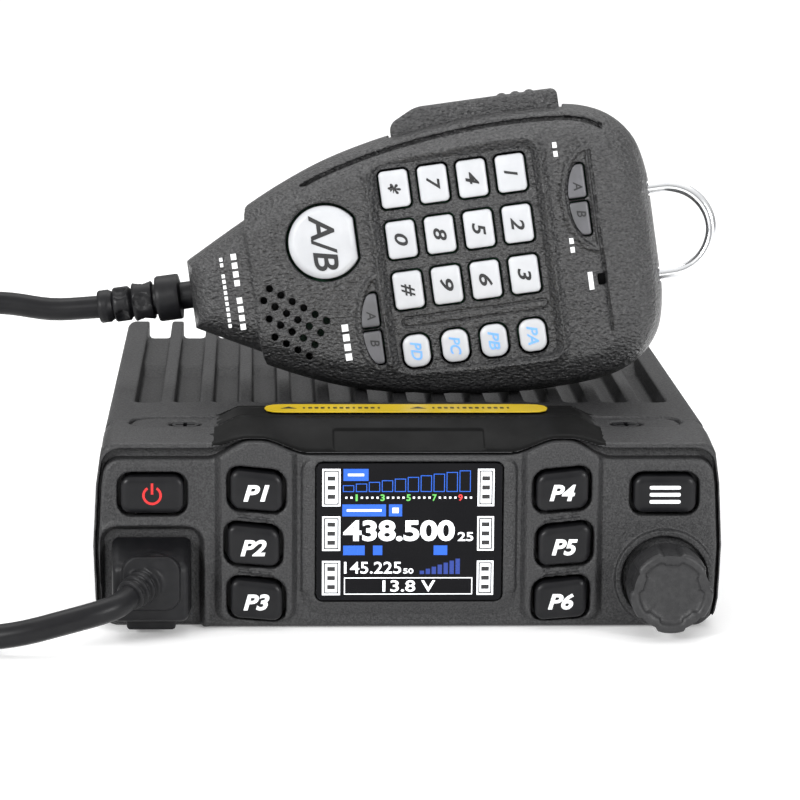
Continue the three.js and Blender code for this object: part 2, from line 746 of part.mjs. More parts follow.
function micFrontShell() {
  const outer = loft([micRing(-gap / 2, 0), micRing(-6, 0.8), micRing(-10.5, 2.6), micRing(faceY, 6)]);
  const inner = loft([
    micRing(1, micWall), micRing(-6, micWall + 0.8), micRing(-9, micWall + 2.6), micRing(faceY + micWall, 8),
  ]);
  const keypad = alongY(rectangle(-3.8, -0.2, 36.4, 46.8, 2.5), faceY - 1, padY);
  const speakerHoles = [];
  for (const [row, first] of [0, 0, 1, 2].entries()) {
    for (let column = first; column < 6; column += 1) {
      const u = -46.4 + column * 2.25 - row * 1.6;
      const v = -0.8 - column * 1.7 - row * 2.36;
      speakerHoles.push(pinY(u, v, 0.75, faceY - 1, faceY + 5, 6));
    }
  }
  return cutBy(cutBy(outer, [inner]).add(hangerBlock(-6, -gap / 2)), [
    keypad,
    underTheMicrophone(),
    pttPocket(-pttThickness / 2 - 0.5, 1),
    alongY(rectangle(24.9, -8.3, 1.5, 2.2, 0.3), faceY - 1, faceY + 5),
    neckHole(),
    ...hangerHoles(),
    ...speakerHoles,
    ...micKeys.map((key) => alongY(key.outline(micKeyGap), faceY - 1, faceY + 6, key.curveSegments ?? 2)),
  ]);
}

function micBackShell() {
  const outer = loft([micRing(gap / 2, 0), micRing(7, 1), micRing(13, 4.5), micRing(micBackDepth, 9)]);
  const inner = loft([
    micRing(-1, micWall), micRing(7, micWall + 1), micRing(11, micWall + 4.5), micRing(micBackDepth - micWall, 10.5),
  ]);
  return cutBy(cutBy(outer, [inner]).add(hangerBlock(gap / 2, 6)), [
    underTheMicrophone(),
    pttPocket(-1, pttThickness / 2 + 0.5),
    pinY(0, 0, 2 + gap, 5, micBackDepth + 1),
    neckHole(),
    ...hangerHoles(),
  ]);
}

function alongU(radius, u0, u1, v, segments = 12) {
  const geometry = new THREE.CylinderGeometry(radius, radius, u1 - u0, segments);
  geometry.rotateZ(Math.PI / 2);
  geometry.translate((u0 + u1) / 2, 0, v);
  return toSolid(geometry);
}

function alongV(radius, u, v0, v1, segments = 8) {
  const geometry = new THREE.CylinderGeometry(radius, radius, v1 - v0, segments);
  geometry.rotateX(Math.PI / 2);
  geometry.translate(u, 0, (v0 + v1) / 2);
  return toSolid(geometry);
}

function neckHole() {
  return alongU(reliefNeckRadius + gap, micTailEnd - 1, micTailEnd + 8, 0);
}

// The hanger ring turns about a line across the head of the microphone, between the two shells.
const ringAxisU = micHeadEnd - 2.9;
const ringRadius = ringBand / 2;

function hangerHoles() {
  const slots = [-1, 1].map((side) => box(
    ringAxisU - ringRadius - gap, micHeadEnd + 2, -ringSlotHalf, ringSlotHalf,
    side * ringHalfWidth - ringRadius - gap, side * ringHalfWidth + ringRadius + gap,
  ));
  return [...slots, alongV(1 + gap, ringAxisU, -ringHalfWidth, ringHalfWidth)];
}

// A solid block in the head of each shell, which the ring's pins turn in.
function hangerBlock(y0, y1) {
  return box(ringAxisU - 2.6, micHeadEnd - 0.8, y0, y1, -ringHalfWidth + 1, ringHalfWidth - 1);
}

function hangerRing() {
  const arcU = micHeadEnd + ringReach - ringHalfWidth - ringRadius;
  const section = new THREE.Shape();
  section.absarc(0, 0, ringRadius, 0, 2 * Math.PI, false);
  const points = [];
  for (let i = 0; i <= 12; i += 1) {
    const angle = Math.PI / 2 - (Math.PI * i) / 12;
    points.push(new THREE.Vector3(
      arcU + ringHalfWidth * Math.cos(angle), 0, ringHalfWidth * Math.sin(angle),
    ));
  }
  const bend = toSolid(new THREE.ExtrudeGeometry(section, {
    steps: 16, curveSegments: 4, extrudePath: new THREE.CatmullRomCurve3(points), bevelEnabled: false,
  }));
  const arms = [-1, 1].map((side) => alongU(ringRadius, ringAxisU, arcU + 0.5, side * ringHalfWidth, 8));
  const pins = [-1, 1].map((side) => alongV(
    1, ringAxisU, Math.min(side * 4, side * ringHalfWidth), Math.max(side * 4, side * ringHalfWidth),
  ));
  return joined([bend, ...arms, ...pins]);
}

function strainRelief() {
  const start = micTailEnd - gap;
  const end = start - reliefLength;
  const profile = [
    [0, end], [3.6, end], [3.6, end + 1.4], [2.9, end + 1.6], [2.9, end + 2.6], [3.8, end + 2.8],
    [3.9, end + 6], [3.1, end + 6.3], [3.1, end + 7], [4.2, end + 7.3], [4.3, end + 11.4], [3.6, end + 11.6],
    [3.6, end + 12.2], [reliefRadius, end + 12.6], [reliefRadius, start],
    [reliefNeckRadius, start], [reliefNeckRadius, start + 6], [0, start + 6],
  ];
  const geometry = new THREE.LatheGeometry(profile.map(([radius, u]) => new THREE.Vector2(radius, u)), 16);
  geometry.rotateZ(-Math.PI / 2);
  return toSolid(geometry);
}

const microphone = new THREE.Group();
microphone.applyMatrix4(micTurn);
microphone.position.set(micX, micY, bodyHeight + micAxisHeight);
radio.add(microphone);
addPiece(microphone, 'mic_front_shell', micFrontShell(), blackPlastic);
addPiece(microphone, 'mic_back_shell', micBackShell(), blackPlastic);
for (const key of micKeys) {
  const keyFront = padY - micKeyProud;
  const solid = alongY(key.outline(0), keyFront, keyFront + micKeyLength, key.curveSegments ?? 2);
  addPiece(microphone, key.name, solid, key.finish);
}
const micBoardY = faceY + micBoardSetback;
addPiece(microphone, 'mic_board', alongY(roundedOutline([
  new THREE.Vector2(-42, -15), new THREE.Vector2(-28, -20), new THREE.Vector2(26, -20),
  new THREE.Vector2(26, 20), new THREE.Vector2(-28, 20), new THREE.Vector2(-42, 15),
], 2), micBoardY, micBoardY + boardThickness, 2), boardGreen);
addPiece(microphone, 'mic_speaker', pinY(-44.5, -4, 6, micBoardY - gap - 2.5, micBoardY - gap), dullSteel);
addPiece(microphone, 'mic_capsule', pinY(24.9, -8.3, 3, micBoardY - gap - 3, micBoardY - gap), brightSteel);
const buttonY = micBackDepth + gap;
addPiece(microphone, 'hang_button', turned([
  [0, buttonY - 5], [3.5, buttonY - 5], [3.5, buttonY - 3], [2, buttonY - 3], [2, buttonY], [3.2, buttonY],
  [3.2, buttonY + 1.4], [6, buttonY + 2], [6, buttonY + 3.4], [5, buttonY + 4], [0, buttonY + 4],
], 0, 0, 16), dullSteel);
addPiece(microphone, 'mic_strain_relief', strainRelief(), blackRubber);
addPiece(microphone, 'ptt_bar', alongY(pttOutline(0), -pttThickness / 2, pttThickness / 2), blackPlastic);
addPiece(microphone, 'hanger_ring', hangerRing(), brightSteel);

// ---------------------------------------------------------------- plug and cord
const bootBackY = frontY + recessDepth - gap;
const bootFrontY = bootBackY - bootLength;
const exitStart = new THREE.Vector3(jackX + 0.2, bootFrontY + 2.5, jackZ + 1);
const exitWay = new THREE.Vector3(-0.5, -0.8, -0.24).normalize();
const exitLength = 8.5;

function bootRing(y, top, inset) {
  const outline = rectangle(
    jackX, (bootBottom + top) / 2, bootWidth - 2 * inset, top - bootBottom - 2 * inset, 1.6,
  );
  return outline.getPoints(3).slice(0, -1).map((point) => new THREE.Vector3(point.x, y, point.y));
}

function micPlug() {
  const relief = new THREE.CylinderGeometry(3.1, 4.1, exitLength, 16);
  relief.translate(0, exitLength / 2, 0);
  relief.applyQuaternion(new THREE.Quaternion().setFromUnitVectors(new THREE.Vector3(0, 1, 0), exitWay));
  relief.translate(exitStart.x, exitStart.y, exitStart.z);
  return joined([
    loft([
      bootRing(bootBackY, bootTop, 0), bootRing(bootBackY - 3, bootTop - 0.4, 0),
      bootRing(bootFrontY + 1, bootFrontTop, 0), bootRing(bootFrontY, bootFrontTop - 0.8, 0.8),
    ]),
    alongY(rectangle(jackX, jackZ, noseWidth, noseHeight, 0.3), bootBackY - 1, bootBackY + noseLength),
    box(jackX - 5, jackX + 5, bootBackY - 7, bootBackY - 0.5, 1, bootBottom + 1),
    toSolid(relief),
  ]);
}

const cordRadius = cordDiameter / 2;
const curlRadius = curlOuterDiameter / 2;
const curlHeight = curlRadius + 0.05;
const upperStart = new THREE.Vector3(micTailEnd - 2 * gap - reliefLength, 0, 0)
  .applyMatrix4(micTurn)
  .add(microphone.position);
const lowerEnd = exitStart.clone().addScaledVector(exitWay, exitLength + gap);
const curlLegs = { near: -113, far: -141, start: 10, turn: 84 };

const upperCord = [
  upperStart.toArray(),
  [-76, -11.4, 56.4], [-86, -10.8, 57.6], [-95, -10.2, 57.4], [-103, -9, 53.6], [-108.5, -7.2, 46.5],
  [-111.5, -5.2, 37], [-112.8, -4.2, 27], [-113.1, -2.6, 18], [-113.1, 0.8, 11.4], [-113, 5, 8.9],
  [curlLegs.near, curlLegs.start - 2 * gap, curlHeight],
];
const lowerCord = [
  [curlLegs.far, curlLegs.start - 2 * gap, curlHeight],
  [-141, 5, 7.6], [-140.7, -1.5, 5], [-140, -9, 3.2], [-137.5, -24, 2.6], [-132, -42, 2.6], [-124, -59, 2.6], [-113, -75, 2.6],
  [-101, -87, 2.7], [-89, -93.5, 3.1], [-79, -95.6, 4.5], [-70.5, -95, 6.4],
  lowerEnd.clone().addScaledVector(exitWay, 4.5).toArray(), lowerEnd.toArray(),
];

function cordCurl() {
  const points = [];
  const middle = (curlLegs.near + curlLegs.far) / 2;
  const radius = (curlLegs.near - curlLegs.far) / 2;
  for (let i = 0; i <= 4; i += 1) {
    points.push([curlLegs.near, curlLegs.start + ((curlLegs.turn - curlLegs.start) * i) / 4, curlHeight]);
  }
  for (let i = 1; i < 8; i += 1) {
    const angle = (Math.PI * i) / 8;
    points.push([middle + radius * Math.cos(angle), curlLegs.turn + radius * Math.sin(angle), curlHeight]);
  }
  for (let i = 4; i >= 0; i -= 1) {
    points.push([curlLegs.far, curlLegs.start + ((curlLegs.turn - curlLegs.start) * i) / 4, curlHeight]);
  }
  return tube(points, curlOuterDiameter, 30);
}

addPiece(radio, 'mic_plug', micPlug(), blackRubber);
addPiece(radio, 'cord_upper', tube(upperCord, cordDiameter, 22), blackRubber);
addPiece(radio, 'cord_curl', cordCurl(), blackRubber);
addPiece(radio, 'cord_lower', tube(lowerCord, cordDiameter, 30), blackRubber);

export default radio;
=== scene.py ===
"""A mobile transceiver with its hand microphone standing on the heatsink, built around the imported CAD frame.

Lengths in this file are in millimetres and are turned into metres when a mesh is made. The radio's frame has
+X to the right, -Y out of the front panel and +Z up. The microphone has its own frame (u, y, v): u runs along
it from the cord to the hanger ring, v across it, and y from the keypad to the back.
"""

import json
import math

import bpy
import numpy as np
import openvdb
from mathutils import Matrix, Vector


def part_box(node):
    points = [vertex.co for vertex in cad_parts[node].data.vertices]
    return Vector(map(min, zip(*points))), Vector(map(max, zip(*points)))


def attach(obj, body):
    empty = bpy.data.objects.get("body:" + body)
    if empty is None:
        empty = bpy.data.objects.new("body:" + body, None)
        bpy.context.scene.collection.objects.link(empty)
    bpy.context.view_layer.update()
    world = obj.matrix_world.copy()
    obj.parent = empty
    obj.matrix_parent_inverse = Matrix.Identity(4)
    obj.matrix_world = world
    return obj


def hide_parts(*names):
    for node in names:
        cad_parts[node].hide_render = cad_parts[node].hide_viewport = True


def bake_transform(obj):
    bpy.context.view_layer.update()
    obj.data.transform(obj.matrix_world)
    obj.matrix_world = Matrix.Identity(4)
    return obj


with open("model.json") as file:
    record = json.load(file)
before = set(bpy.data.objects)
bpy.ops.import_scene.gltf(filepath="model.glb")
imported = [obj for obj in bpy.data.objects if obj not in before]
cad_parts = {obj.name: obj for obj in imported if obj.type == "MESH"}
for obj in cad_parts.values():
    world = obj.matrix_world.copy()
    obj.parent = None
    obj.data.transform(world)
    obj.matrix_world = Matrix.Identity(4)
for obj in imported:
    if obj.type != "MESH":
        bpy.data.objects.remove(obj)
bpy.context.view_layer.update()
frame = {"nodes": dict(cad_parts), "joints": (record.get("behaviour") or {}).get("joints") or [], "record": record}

MM = 0.001
SURFACE_FLATNESS = 0.02

# ---------------------------------------------------------------- driving dimensions
SPLIT_Y = -56.5
BACK_Y = 74.0
BODY_HALF_WIDTH = 62.7
BODY_HEIGHT = 40.0
WALL_BACK_Y = -70.5
HUMP_RISE = 2.6
HUMP_HALF_WIDTH = 34.0
HUMP_SLOPE = 7.0
TONGUE_HALF_WIDTH = 57.3
TONGUE_FRONT_Y = -61.8
TONGUE_BACK_Y = -51.4
TONGUE_UNDER_Z = 36.5
RIDGE_RISE = 1.6
RIDGE_X = 31.3
RIDGE_WIDTH = 17.0
PRESET_MIDDLE_Z = 17.8
PRESET_PITCH = 11.4
CHANNEL_COUNT = 14
CHANNEL_PITCH = 8.39
CHANNEL_WIDTH = 5.5
CHANNEL_FRONT_Y = -35.0
CHANNEL_FLOOR_Z = 35.0
KNOB_X = 52.7
KNOB_Z = 10.5
JACK_X = -52.6
JACK_Z = 11.3
SCREW_X = 46.0
SCREW_Y = -57.5
FITTING_Z = 18.0

MIC_FACE_Y = -14.0
MIC_BACK_Y = 16.0
MIC_WALL = 2.2
RING_AXIS_U = 34.6
CORD_DIAMETER = 5.0
CURL_RADIUS = 8.25

# ---------------------------------------------------------------- microphone frame
joints = {joint["name"]: joint for joint in frame["joints"]}
mic_y = Vector(joints["ptt_press"]["axis"]).normalized()
mic_v = Vector(joints["hanger_swing"]["axis"]).normalized()
mic_u = mic_y.cross(mic_v).normalized()
mic_origin = Vector(joints["hanger_swing"]["pos_m"]) - mic_u * RING_AXIS_U * MM
MIC = Matrix.Translation(mic_origin) @ Matrix((mic_u, mic_y, mic_v)).transposed().to_4x4()
RADIO = Matrix.Identity(4)


def mic_point(u, y, v):
    """A point of the microphone's frame, in the radio's frame, in millimetres."""
    return (MIC @ Vector((u * MM, y * MM, v * MM))) / MM


def local_box(node):
    """Lowest and highest (u, y, v) of a CAD node in the microphone's frame, in millimetres."""
    inverse = MIC.inverted()
    corners = np.array([inverse @ vertex.co for vertex in frame["nodes"][node].data.vertices])
    return corners.min(0) / MM, corners.max(0) / MM


def radio_box(node):
    """Lowest and highest corner of a CAD node in the radio's frame, in millimetres."""
    low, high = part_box(node)
    return np.array(low) / MM, np.array(high) / MM


# ---------------------------------------------------------------- materials
def new_material(name, color, roughness, metallic=0.0, specular=0.5):
    material = bpy.data.materials.new(name)
    material.use_nodes = True
    shader = material.node_tree.nodes["Principled BSDF"]
    shader.inputs["Base Color"].default_value = (*color, 1)
    shader.inputs["Roughness"].default_value = roughness
    shader.inputs["Metallic"].default_value = metallic
    shader.inputs["Specular IOR Level"].default_value = specular
    return material


def add_node(material, kind, **settings):
    node = material.node_tree.nodes.new(kind)
    for key, value in settings.items():
        if key in node.inputs:
            node.inputs[key].default_value = value
        else:
            setattr(node, key, value)
    return node


def texture_space(material, stretch=(1, 1, 1), turn=(0, 0, 0)):
    """Object coordinates, stretched and turned, for the textures of a material."""
    where = add_node(material, "ShaderNodeTexCoord")
    mapping = add_node(material, "ShaderNodeMapping")
    mapping.inputs["Scale"].default_value = stretch
    mapping.inputs["Rotation"].default_value = turn
    material.node_tree.links.new(where.outputs["Object"], mapping.inputs["Vector"])
    return mapping.outputs["Vector"]


def add_grain(material, size, height, space, detail=2.0, kind="noise", strength=1.0):
    """Bump of grains of the given size and height in millimetres."""
    links = material.node_tree.links
    if kind == "cells":
        texture = add_node(material, "ShaderNodeTexVoronoi", feature="SMOOTH_F1", Scale=1 / (size * MM),
                           Smoothness=0.6)
        level = texture.outputs["Distance"]
    else:
        texture = add_node(material, "ShaderNodeTexNoise", Scale=1 / (size * MM), Detail=detail,
                           Roughness=0.6)
        level = texture.outputs["Fac"]
    links.new(space, texture.inputs["Vector"])
    shader = material.node_tree.nodes["Principled BSDF"]
    bump = add_node(material, "ShaderNodeBump", Strength=strength, Distance=height * MM)
    links.new(level, bump.inputs["Height"])
    earlier = shader.inputs["Normal"].links
    if earlier:
        links.new(earlier[0].from_socket, bump.inputs["Normal"])
    links.new(bump.outputs["Normal"], shader.inputs["Normal"])


def add_spread(material, socket, size, low, high, space, detail=3.0):
    """Lets a value or a colour of the shader wander between low and high over patches of a size."""
    links = material.node_tree.links
    noise = add_node(material, "ShaderNodeTexNoise", Scale=1 / (size * MM), Detail=detail)
    links.new(space, noise.inputs["Vector"])
    ramp = add_node(material, "ShaderNodeValToRGB")
    ramp.color_ramp.elements[0].position = 0.35
    ramp.color_ramp.elements[1].position = 0.65
    for element, value in zip(ramp.color_ramp.elements, (low, high)):
        element.color = (*value, 1) if hasattr(value, "__len__") else (value, value, value, 1)
    links.new(noise.outputs["Fac"], ramp.inputs["Fac"])
    links.new(ramp.outputs["Color"], material.node_tree.nodes["Principled BSDF"].inputs[socket])


def grained(name, dark, light, roughness, grain, height, patch, stretch=(1, 1, 1), turn=(0, 0, 0), **more):
    """Moulded or coated material: fine grain bump, and colour and gloss that wander a little."""
    material = new_material(name, dark, roughness, **more)
    space = texture_space(material, stretch, turn)
    add_grain(material, grain, height, space)
    add_spread(material, "Base Color", patch, dark, light, space)
    add_spread(material, "Roughness", patch * 1.7, roughness - 0.05, roughness + 0.07, space)
    return material


def make_materials():
    made = {}
    made["panel"] = grained(
        "panel_plastic", (0.010, 0.010, 0.011), (0.036, 0.036, 0.037), 0.44, 0.42, 0.16, 0.35, specular=0.42,
    )
    made["coat"] = grained(
        "heatsink_coat", (0.010, 0.010, 0.011), (0.040, 0.040, 0.041), 0.5, 0.45, 0.18, 0.35, specular=0.36,
    )
    leather = grained(
        "microphone_plastic", (0.012, 0.012, 0.013), (0.050, 0.050, 0.051), 0.33, 0.6, 0.34, 0.6,
        stretch=(1, 1, 1.7), turn=(0, 0.6, 0), specular=0.55,
    )
    add_grain(leather, 1.0, 0.36, texture_space(leather, (1, 1, 1.5), (0, 0.9, 0)), kind="cells")
    made["leather"] = leather
    made["smooth"] = grained(
        "smooth_black_plastic", (0.006, 0.006, 0.007), (0.009, 0.009, 0.010), 0.34, 0.5, 0.004, 5,
        specular=0.2,
    )
    made["hood"] = grained(
        "smooth_black_hood", (0.004, 0.004, 0.004), (0.006, 0.006, 0.006), 0.4, 0.5, 0.003, 5, specular=0.06,
    )
    made["rubber"] = grained(
        "black_rubber", (0.004, 0.004, 0.005), (0.007, 0.007, 0.008), 0.42, 0.4, 0.01, 2, specular=0.25,
    )
    made["jacket"] = grained(
        "cord_jacket", (0.004, 0.004, 0.005), (0.007, 0.007, 0.008), 0.36, 0.6, 0.008, 4, specular=0.22,
    )
    made["knob"] = grained(
        "knob_rubber", (0.011, 0.011, 0.012), (0.019, 0.019, 0.020), 0.46, 0.3, 0.06, 1, specular=0.45,
    )
    made["connector"] = grained(
        "connector_plastic", (0.010, 0.010, 0.010), (0.014, 0.014, 0.014), 0.35, 0.5, 0.006, 3,
    )
    made["white"] = grained(
        "white_key_plastic", (0.47, 0.48, 0.50), (0.52, 0.53, 0.55), 0.38, 0.5, 0.004, 6,
    )
    made["grey"] = grained(
        "grey_key_plastic", (0.085, 0.085, 0.09), (0.11, 0.11, 0.12), 0.42, 0.4, 0.006, 4,
    )
    made["label"] = grained(
        "yellow_film", (0.55, 0.38, 0.005), (0.60, 0.42, 0.007), 0.35, 0.6, 0.004, 8,
    )
    made["board"] = grained(
        "circuit_board_green", (0.008, 0.075, 0.03), (0.015, 0.11, 0.045), 0.3, 0.8, 0.01, 4,
    )
    made["steel"] = grained(
        "satin_steel", (0.46, 0.47, 0.49), (0.56, 0.57, 0.59), 0.32, 0.25, 0.004, 2, stretch=(1, 8, 1),
        metallic=1.0,
    )
    made["chrome"] = grained(
        "bright_steel", (0.80, 0.81, 0.83), (0.86, 0.87, 0.88), 0.16, 0.5, 0.002, 6, metallic=1.0,
    )
    made["glass"] = grained(
        "display_glass", (0.002, 0.002, 0.003), (0.003, 0.003, 0.004), 0.12, 2, 0.001, 12, specular=0.12,
    )
    inks = {
        "white_ink": (0.84, 0.85, 0.86), "black_ink": (0.012, 0.012, 0.013), "red_ink": (0.60, 0.012, 0.012),
        "pale_blue_ink": (0.16, 0.38, 0.82),
    }
    for name, color in inks.items():
        lighter = tuple(min(1, 1.12 * value + 0.004) for value in color)
        made[name] = grained(name, color, lighter, 0.45, 0.4, 0.003, 1.5)
    lights = {
        "screen_white": (0.9, 0.92, 0.95), "screen_blue": (0.008, 0.09, 0.50),
        "screen_green": (0.10, 0.42, 0.08),
        "screen_red": (0.6, 0.03, 0.03), "screen_navy": (0.008, 0.03, 0.20),
    }
    for name, color in lights.items():
        lit = grained(name, color, tuple(min(1, 1.06 * value) for value in color), 0.3, 0.5, 0.001, 3)
        shader = lit.node_tree.nodes["Principled BSDF"]
        shader.inputs["Emission Color"].default_value = (*color, 1)
        shader.inputs["Emission Strength"].default_value = 0.3
        made[name] = lit
    return made


M = make_materials()
SLOT_MATERIALS = {
    "black_plastic": "panel", "black_paint": "coat", "black_rubber": "rubber", "cord_jacket": "jacket",
    "smooth_black": "smooth", "display_glass": "glass", "connector_black": "connector",
    "circuit_board": "board",
    "steel_dull": "steel", "steel_bright": "chrome", "yellow_label": "label", "white_plastic": "white",
    "grey_plastic": "grey",
}


DARK_NODES = {
    "panel_screw_left": "smooth", "panel_screw_right": "smooth", "mic_speaker": "rubber",
    "mic_capsule": "rubber",
}


def dress_cad_nodes():
    """Gives every carried-over CAD node the material of its slot."""
    for part in frame["record"]["subparts"]:
        node = frame["nodes"][part["node"]]
        material = M[DARK_NODES.get(part["node"], SLOT_MATERIALS[part["material_slot"]])]
        for i in range(len(node.material_slots)):
            node.material_slots[i].material = material
        for polygon in node.data.polygons:
            if polygon.material_index >= len(node.material_slots):
                polygon.material_index = 0


# ---------------------------------------------------------------- making meshes
def add_piece(name, points, faces, material, body, slot, replaces=(), place=RADIO, crease=None):
    """A mesh of points in millimetres in the frame of place. With crease, in degrees, edges sharper than that
    stay sharp. Without it, the flat faces rule the normals, which suits a surface from a distance field."""
    mesh = bpy.data.meshes.new(name)
    mesh.from_pydata((np.asarray(points, float) * MM).tolist(), [], [list(face) for face in faces])
    mesh.transform(place)
    mesh.materials.append(M[material])
    mesh.shade_smooth()
    if crease is not None:
        mesh.set_sharp_from_angle(angle=math.radians(crease))
    else:
        normals = area_normals(mesh)
        mesh.normals_split_custom_set_from_vertices(normals.tolist())
    piece = bpy.data.objects.new(name, mesh)
    bpy.context.scene.collection.objects.link(piece)
    if body is not None:
        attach(piece, body)
    if replaces:
        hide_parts(*replaces)
    return piece


def paint(piece, material, chosen):
    """Gives a second material to the faces whose middles, in millimetres, chosen(x, y, z) picks."""
    mesh = piece.data
    mesh.materials.append(M[material])
    middles = np.zeros(3 * len(mesh.polygons), np.float32)
    mesh.polygons.foreach_get("center", middles)
    x, y, z = middles.reshape(-1, 3).T / MM
    mesh.polygons.foreach_set("material_index", np.where(chosen(x, y, z), 1, 0).astype(np.int32))
    mesh.update()


def area_normals(mesh):
    """Vertex normals in which each face counts by its area."""
    count = len(mesh.vertices)
    corners = np.zeros(len(mesh.loops), np.int32)
    mesh.loops.foreach_get("vertex_index", corners)
    areas = np.zeros(len(mesh.polygons), np.float32)
    mesh.polygons.foreach_get("area", areas)
    directions = np.zeros(3 * len(mesh.polygons), np.float32)
    mesh.polygons.foreach_get("normal", directions)
    sizes = np.zeros(len(mesh.polygons), np.int32)
    mesh.polygons.foreach_get("loop_total", sizes)
    weighted = np.repeat(directions.reshape(-1, 3) * areas[:, None], sizes, axis=0)
    normals = np.stack([np.bincount(corners, weighted[:, i], count) for i in range(3)], axis=1)
    return normals / np.maximum(np.linalg.norm(normals, axis=1, keepdims=True), 1e-12)


def skin(rings, closed=True):
    """Points and faces of a surface over rings that all have the same number of points."""
    count = len(rings[0])
    points = np.concatenate([np.asarray(ring, float) for ring in rings])
    faces = []
    for i in range(len(rings) - 1):
        for j in range(count):
            here, there = i * count + j, i * count + (j + 1) % count
            faces.append((here, there, there + count, here + count))
    if closed:
        last = (len(rings) - 1) * count
        faces.append(tuple(range(count))[::-1])
        faces.append(tuple(range(last, last + count)))
    return points, outward(points, faces)


def outward(points, faces):
    """The faces, turned so that they face out of the solid that they close."""
    volume = 0.0
    for face in faces:
        a = points[face[0]]
        for i in range(1, len(face) - 1):
            volume += np.dot(a, np.cross(points[face[i]], points[face[i + 1]]))
    return faces if volume > 0 else [tuple(face)[::-1] for face in faces]


def merged(parts):
    """Several (points, faces) as one."""
    points, faces, start = [], [], 0
    for part_points, part_faces in parts:
        points.append(np.asarray(part_points, float))
        faces.extend(tuple(index + start for index in face) for face in part_faces)
        start += len(part_points)
    return np.concatenate(points), faces


def tube(path, radii, sides=12):
    """A tube whose rings follow path without twisting. radii is one radius or one for each point."""
    path = np.asarray(path, float)
    radii = np.broadcast_to(radii, len(path))
    tangents = np.gradient(path, axis=0)
    tangents /= np.linalg.norm(tangents, axis=1, keepdims=True)
    side = np.cross(tangents[0], (0.3, 0.2, 0.9))
    angles = 2 * np.pi * np.arange(sides) / sides
    rings = []
    for point, tangent, radius in zip(path, tangents, radii):
        side = side - tangent * np.dot(side, tangent)
        side /= np.linalg.norm(side)
        up = np.cross(tangent, side)
        rings.append(point + radius * (np.cos(angles)[:, None] * side + np.sin(angles)[:, None] * up))
    return skin(rings)


def turned(profile, centre, axis, across, segments=64, shape=None):
    """A turned solid. profile is (radius, distance along axis); shape(angle, distance) scales the radius."""
    axis, across = np.asarray(axis, float), np.asarray(across, float)
    up = np.cross(axis, across)
    angles = 2 * np.pi * np.arange(segments) / segments
    rings = []
    for radius, along in profile:
        scale = 1.0 if shape is None else shape(angles, along)
        reach = (radius * scale * np.ones(segments))[:, None]
        rings.append(np.asarray(centre) + axis * along + reach * (
            np.cos(angles)[:, None] * across + np.sin(angles)[:, None] * up))
    return skin(rings)


def rounded_outline(corners, radius, steps=6):
    """A closed outline with each corner rounded; every corner gives steps + 1 points."""
    corners = [np.asarray(corner, float) for corner in corners]
    outline = []
    for i, corner in enumerate(corners):
        before, after = corners[i - 1] - corner, corners[(i + 1) % len(corners)] - corner
        reach = min(radius, np.linalg.norm(before) / 2.1, np.linalg.norm(after) / 2.1)
        start = corner + before / np.linalg.norm(before) * reach
        end = corner + after / np.linalg.norm(after) * reach
        for step in range(steps + 1):
            t = step / steps
            weight = 2 ** 0.5 * t * (1 - t)
            total = (1 - t) ** 2 + weight + t ** 2
            outline.append(((1 - t) ** 2 * start + weight * corner + t ** 2 * end) / total)
    return np.array(outline)


def rectangle_corners(x, z, width, height):
    return [(x - width / 2, z - height / 2), (x + width / 2, z - height / 2),
            (x + width / 2, z + height / 2), (x - width / 2, z + height / 2)]


def at_y(outline, y):
    """A flat outline as points at the given y."""
    return np.stack([outline[:, 0], np.full(len(outline), y), outline[:, 1]], axis=1)


def cap_rings(outline_at, front, back, edge=0.5, crown=0.25, flange=None):
    """Rings of a key cap from its crowned front to its back. outline_at(margin) gives its outline."""
    steps = [(-2.2, 0.0), (-1.4, 0.12 * crown), (-0.9, 0.35 * crown)]
    rings = [at_y(outline_at(margin), front + depth) for margin, depth in steps]
    for angle in np.radians([70, 50, 30, 10]):
        rings.append(at_y(outline_at(-edge * (1 - math.cos(angle))),
                          front + crown + edge * (1 - math.sin(angle))))
    if flange is None:
        rings.append(at_y(outline_at(0), back))
        return rings
    margin, flange_front = flange
    rings += [at_y(outline_at(0), flange_front), at_y(outline_at(margin), flange_front),
              at_y(outline_at(margin), back)]
    return rings


# ---------------------------------------------------------------- distance fields
class Block:
    """A block of sample points. x, y and z are its coordinates, shaped to broadcast against each other."""

    def __init__(self, low, high, step):
        self.low = np.array(low, float)
        self.step = np.array(step, float)
        self.count = np.ceil((np.array(high, float) - self.low) / self.step).astype(int) + 1
        lines = [(self.low[i] + self.step[i] * np.arange(self.count[i])).astype(np.float32) for i in range(3)]
        self.x = lines[0][:, None, None]
        self.y = lines[1][None, :, None]
        self.z = lines[2][None, None, :]

    def surface(self, field):
        """Points and faces of the surface where the field, negative inside, is zero."""
        grid = openvdb.FloatGrid()
        grid.background = 1.0
        full = np.broadcast_to(field, self.count).astype(np.float32)
        grid.copyFromArray(np.ascontiguousarray(np.clip(full, -1, 1)))
        points, triangles, quads = grid.convertToPolygons(isovalue=0.0, adaptivity=SURFACE_FLATNESS)
        points = points * self.step + self.low
        corners = [points[triangles[:, i]] for i in range(3)]
        volume = np.sum(corners[0] * np.cross(corners[1], corners[2]))
        corners = [points[quads[:, i]] for i in range(4)]
        volume += np.sum(corners[0] * np.cross(corners[1], corners[2]))
        volume += np.sum(corners[0] * np.cross(corners[2], corners[3]))
        faces = triangles.tolist() + quads.tolist()
        return points, faces if volume > 0 else [face[::-1] for face in faces]


def ease(t):
    """0 below 0, 1 above 1, and a smooth step between."""
    t = np.clip(t, 0, 1)
    return t * t * (3 - 2 * t)


def slab(value, low, high):
    return np.maximum(low - value, value - high)


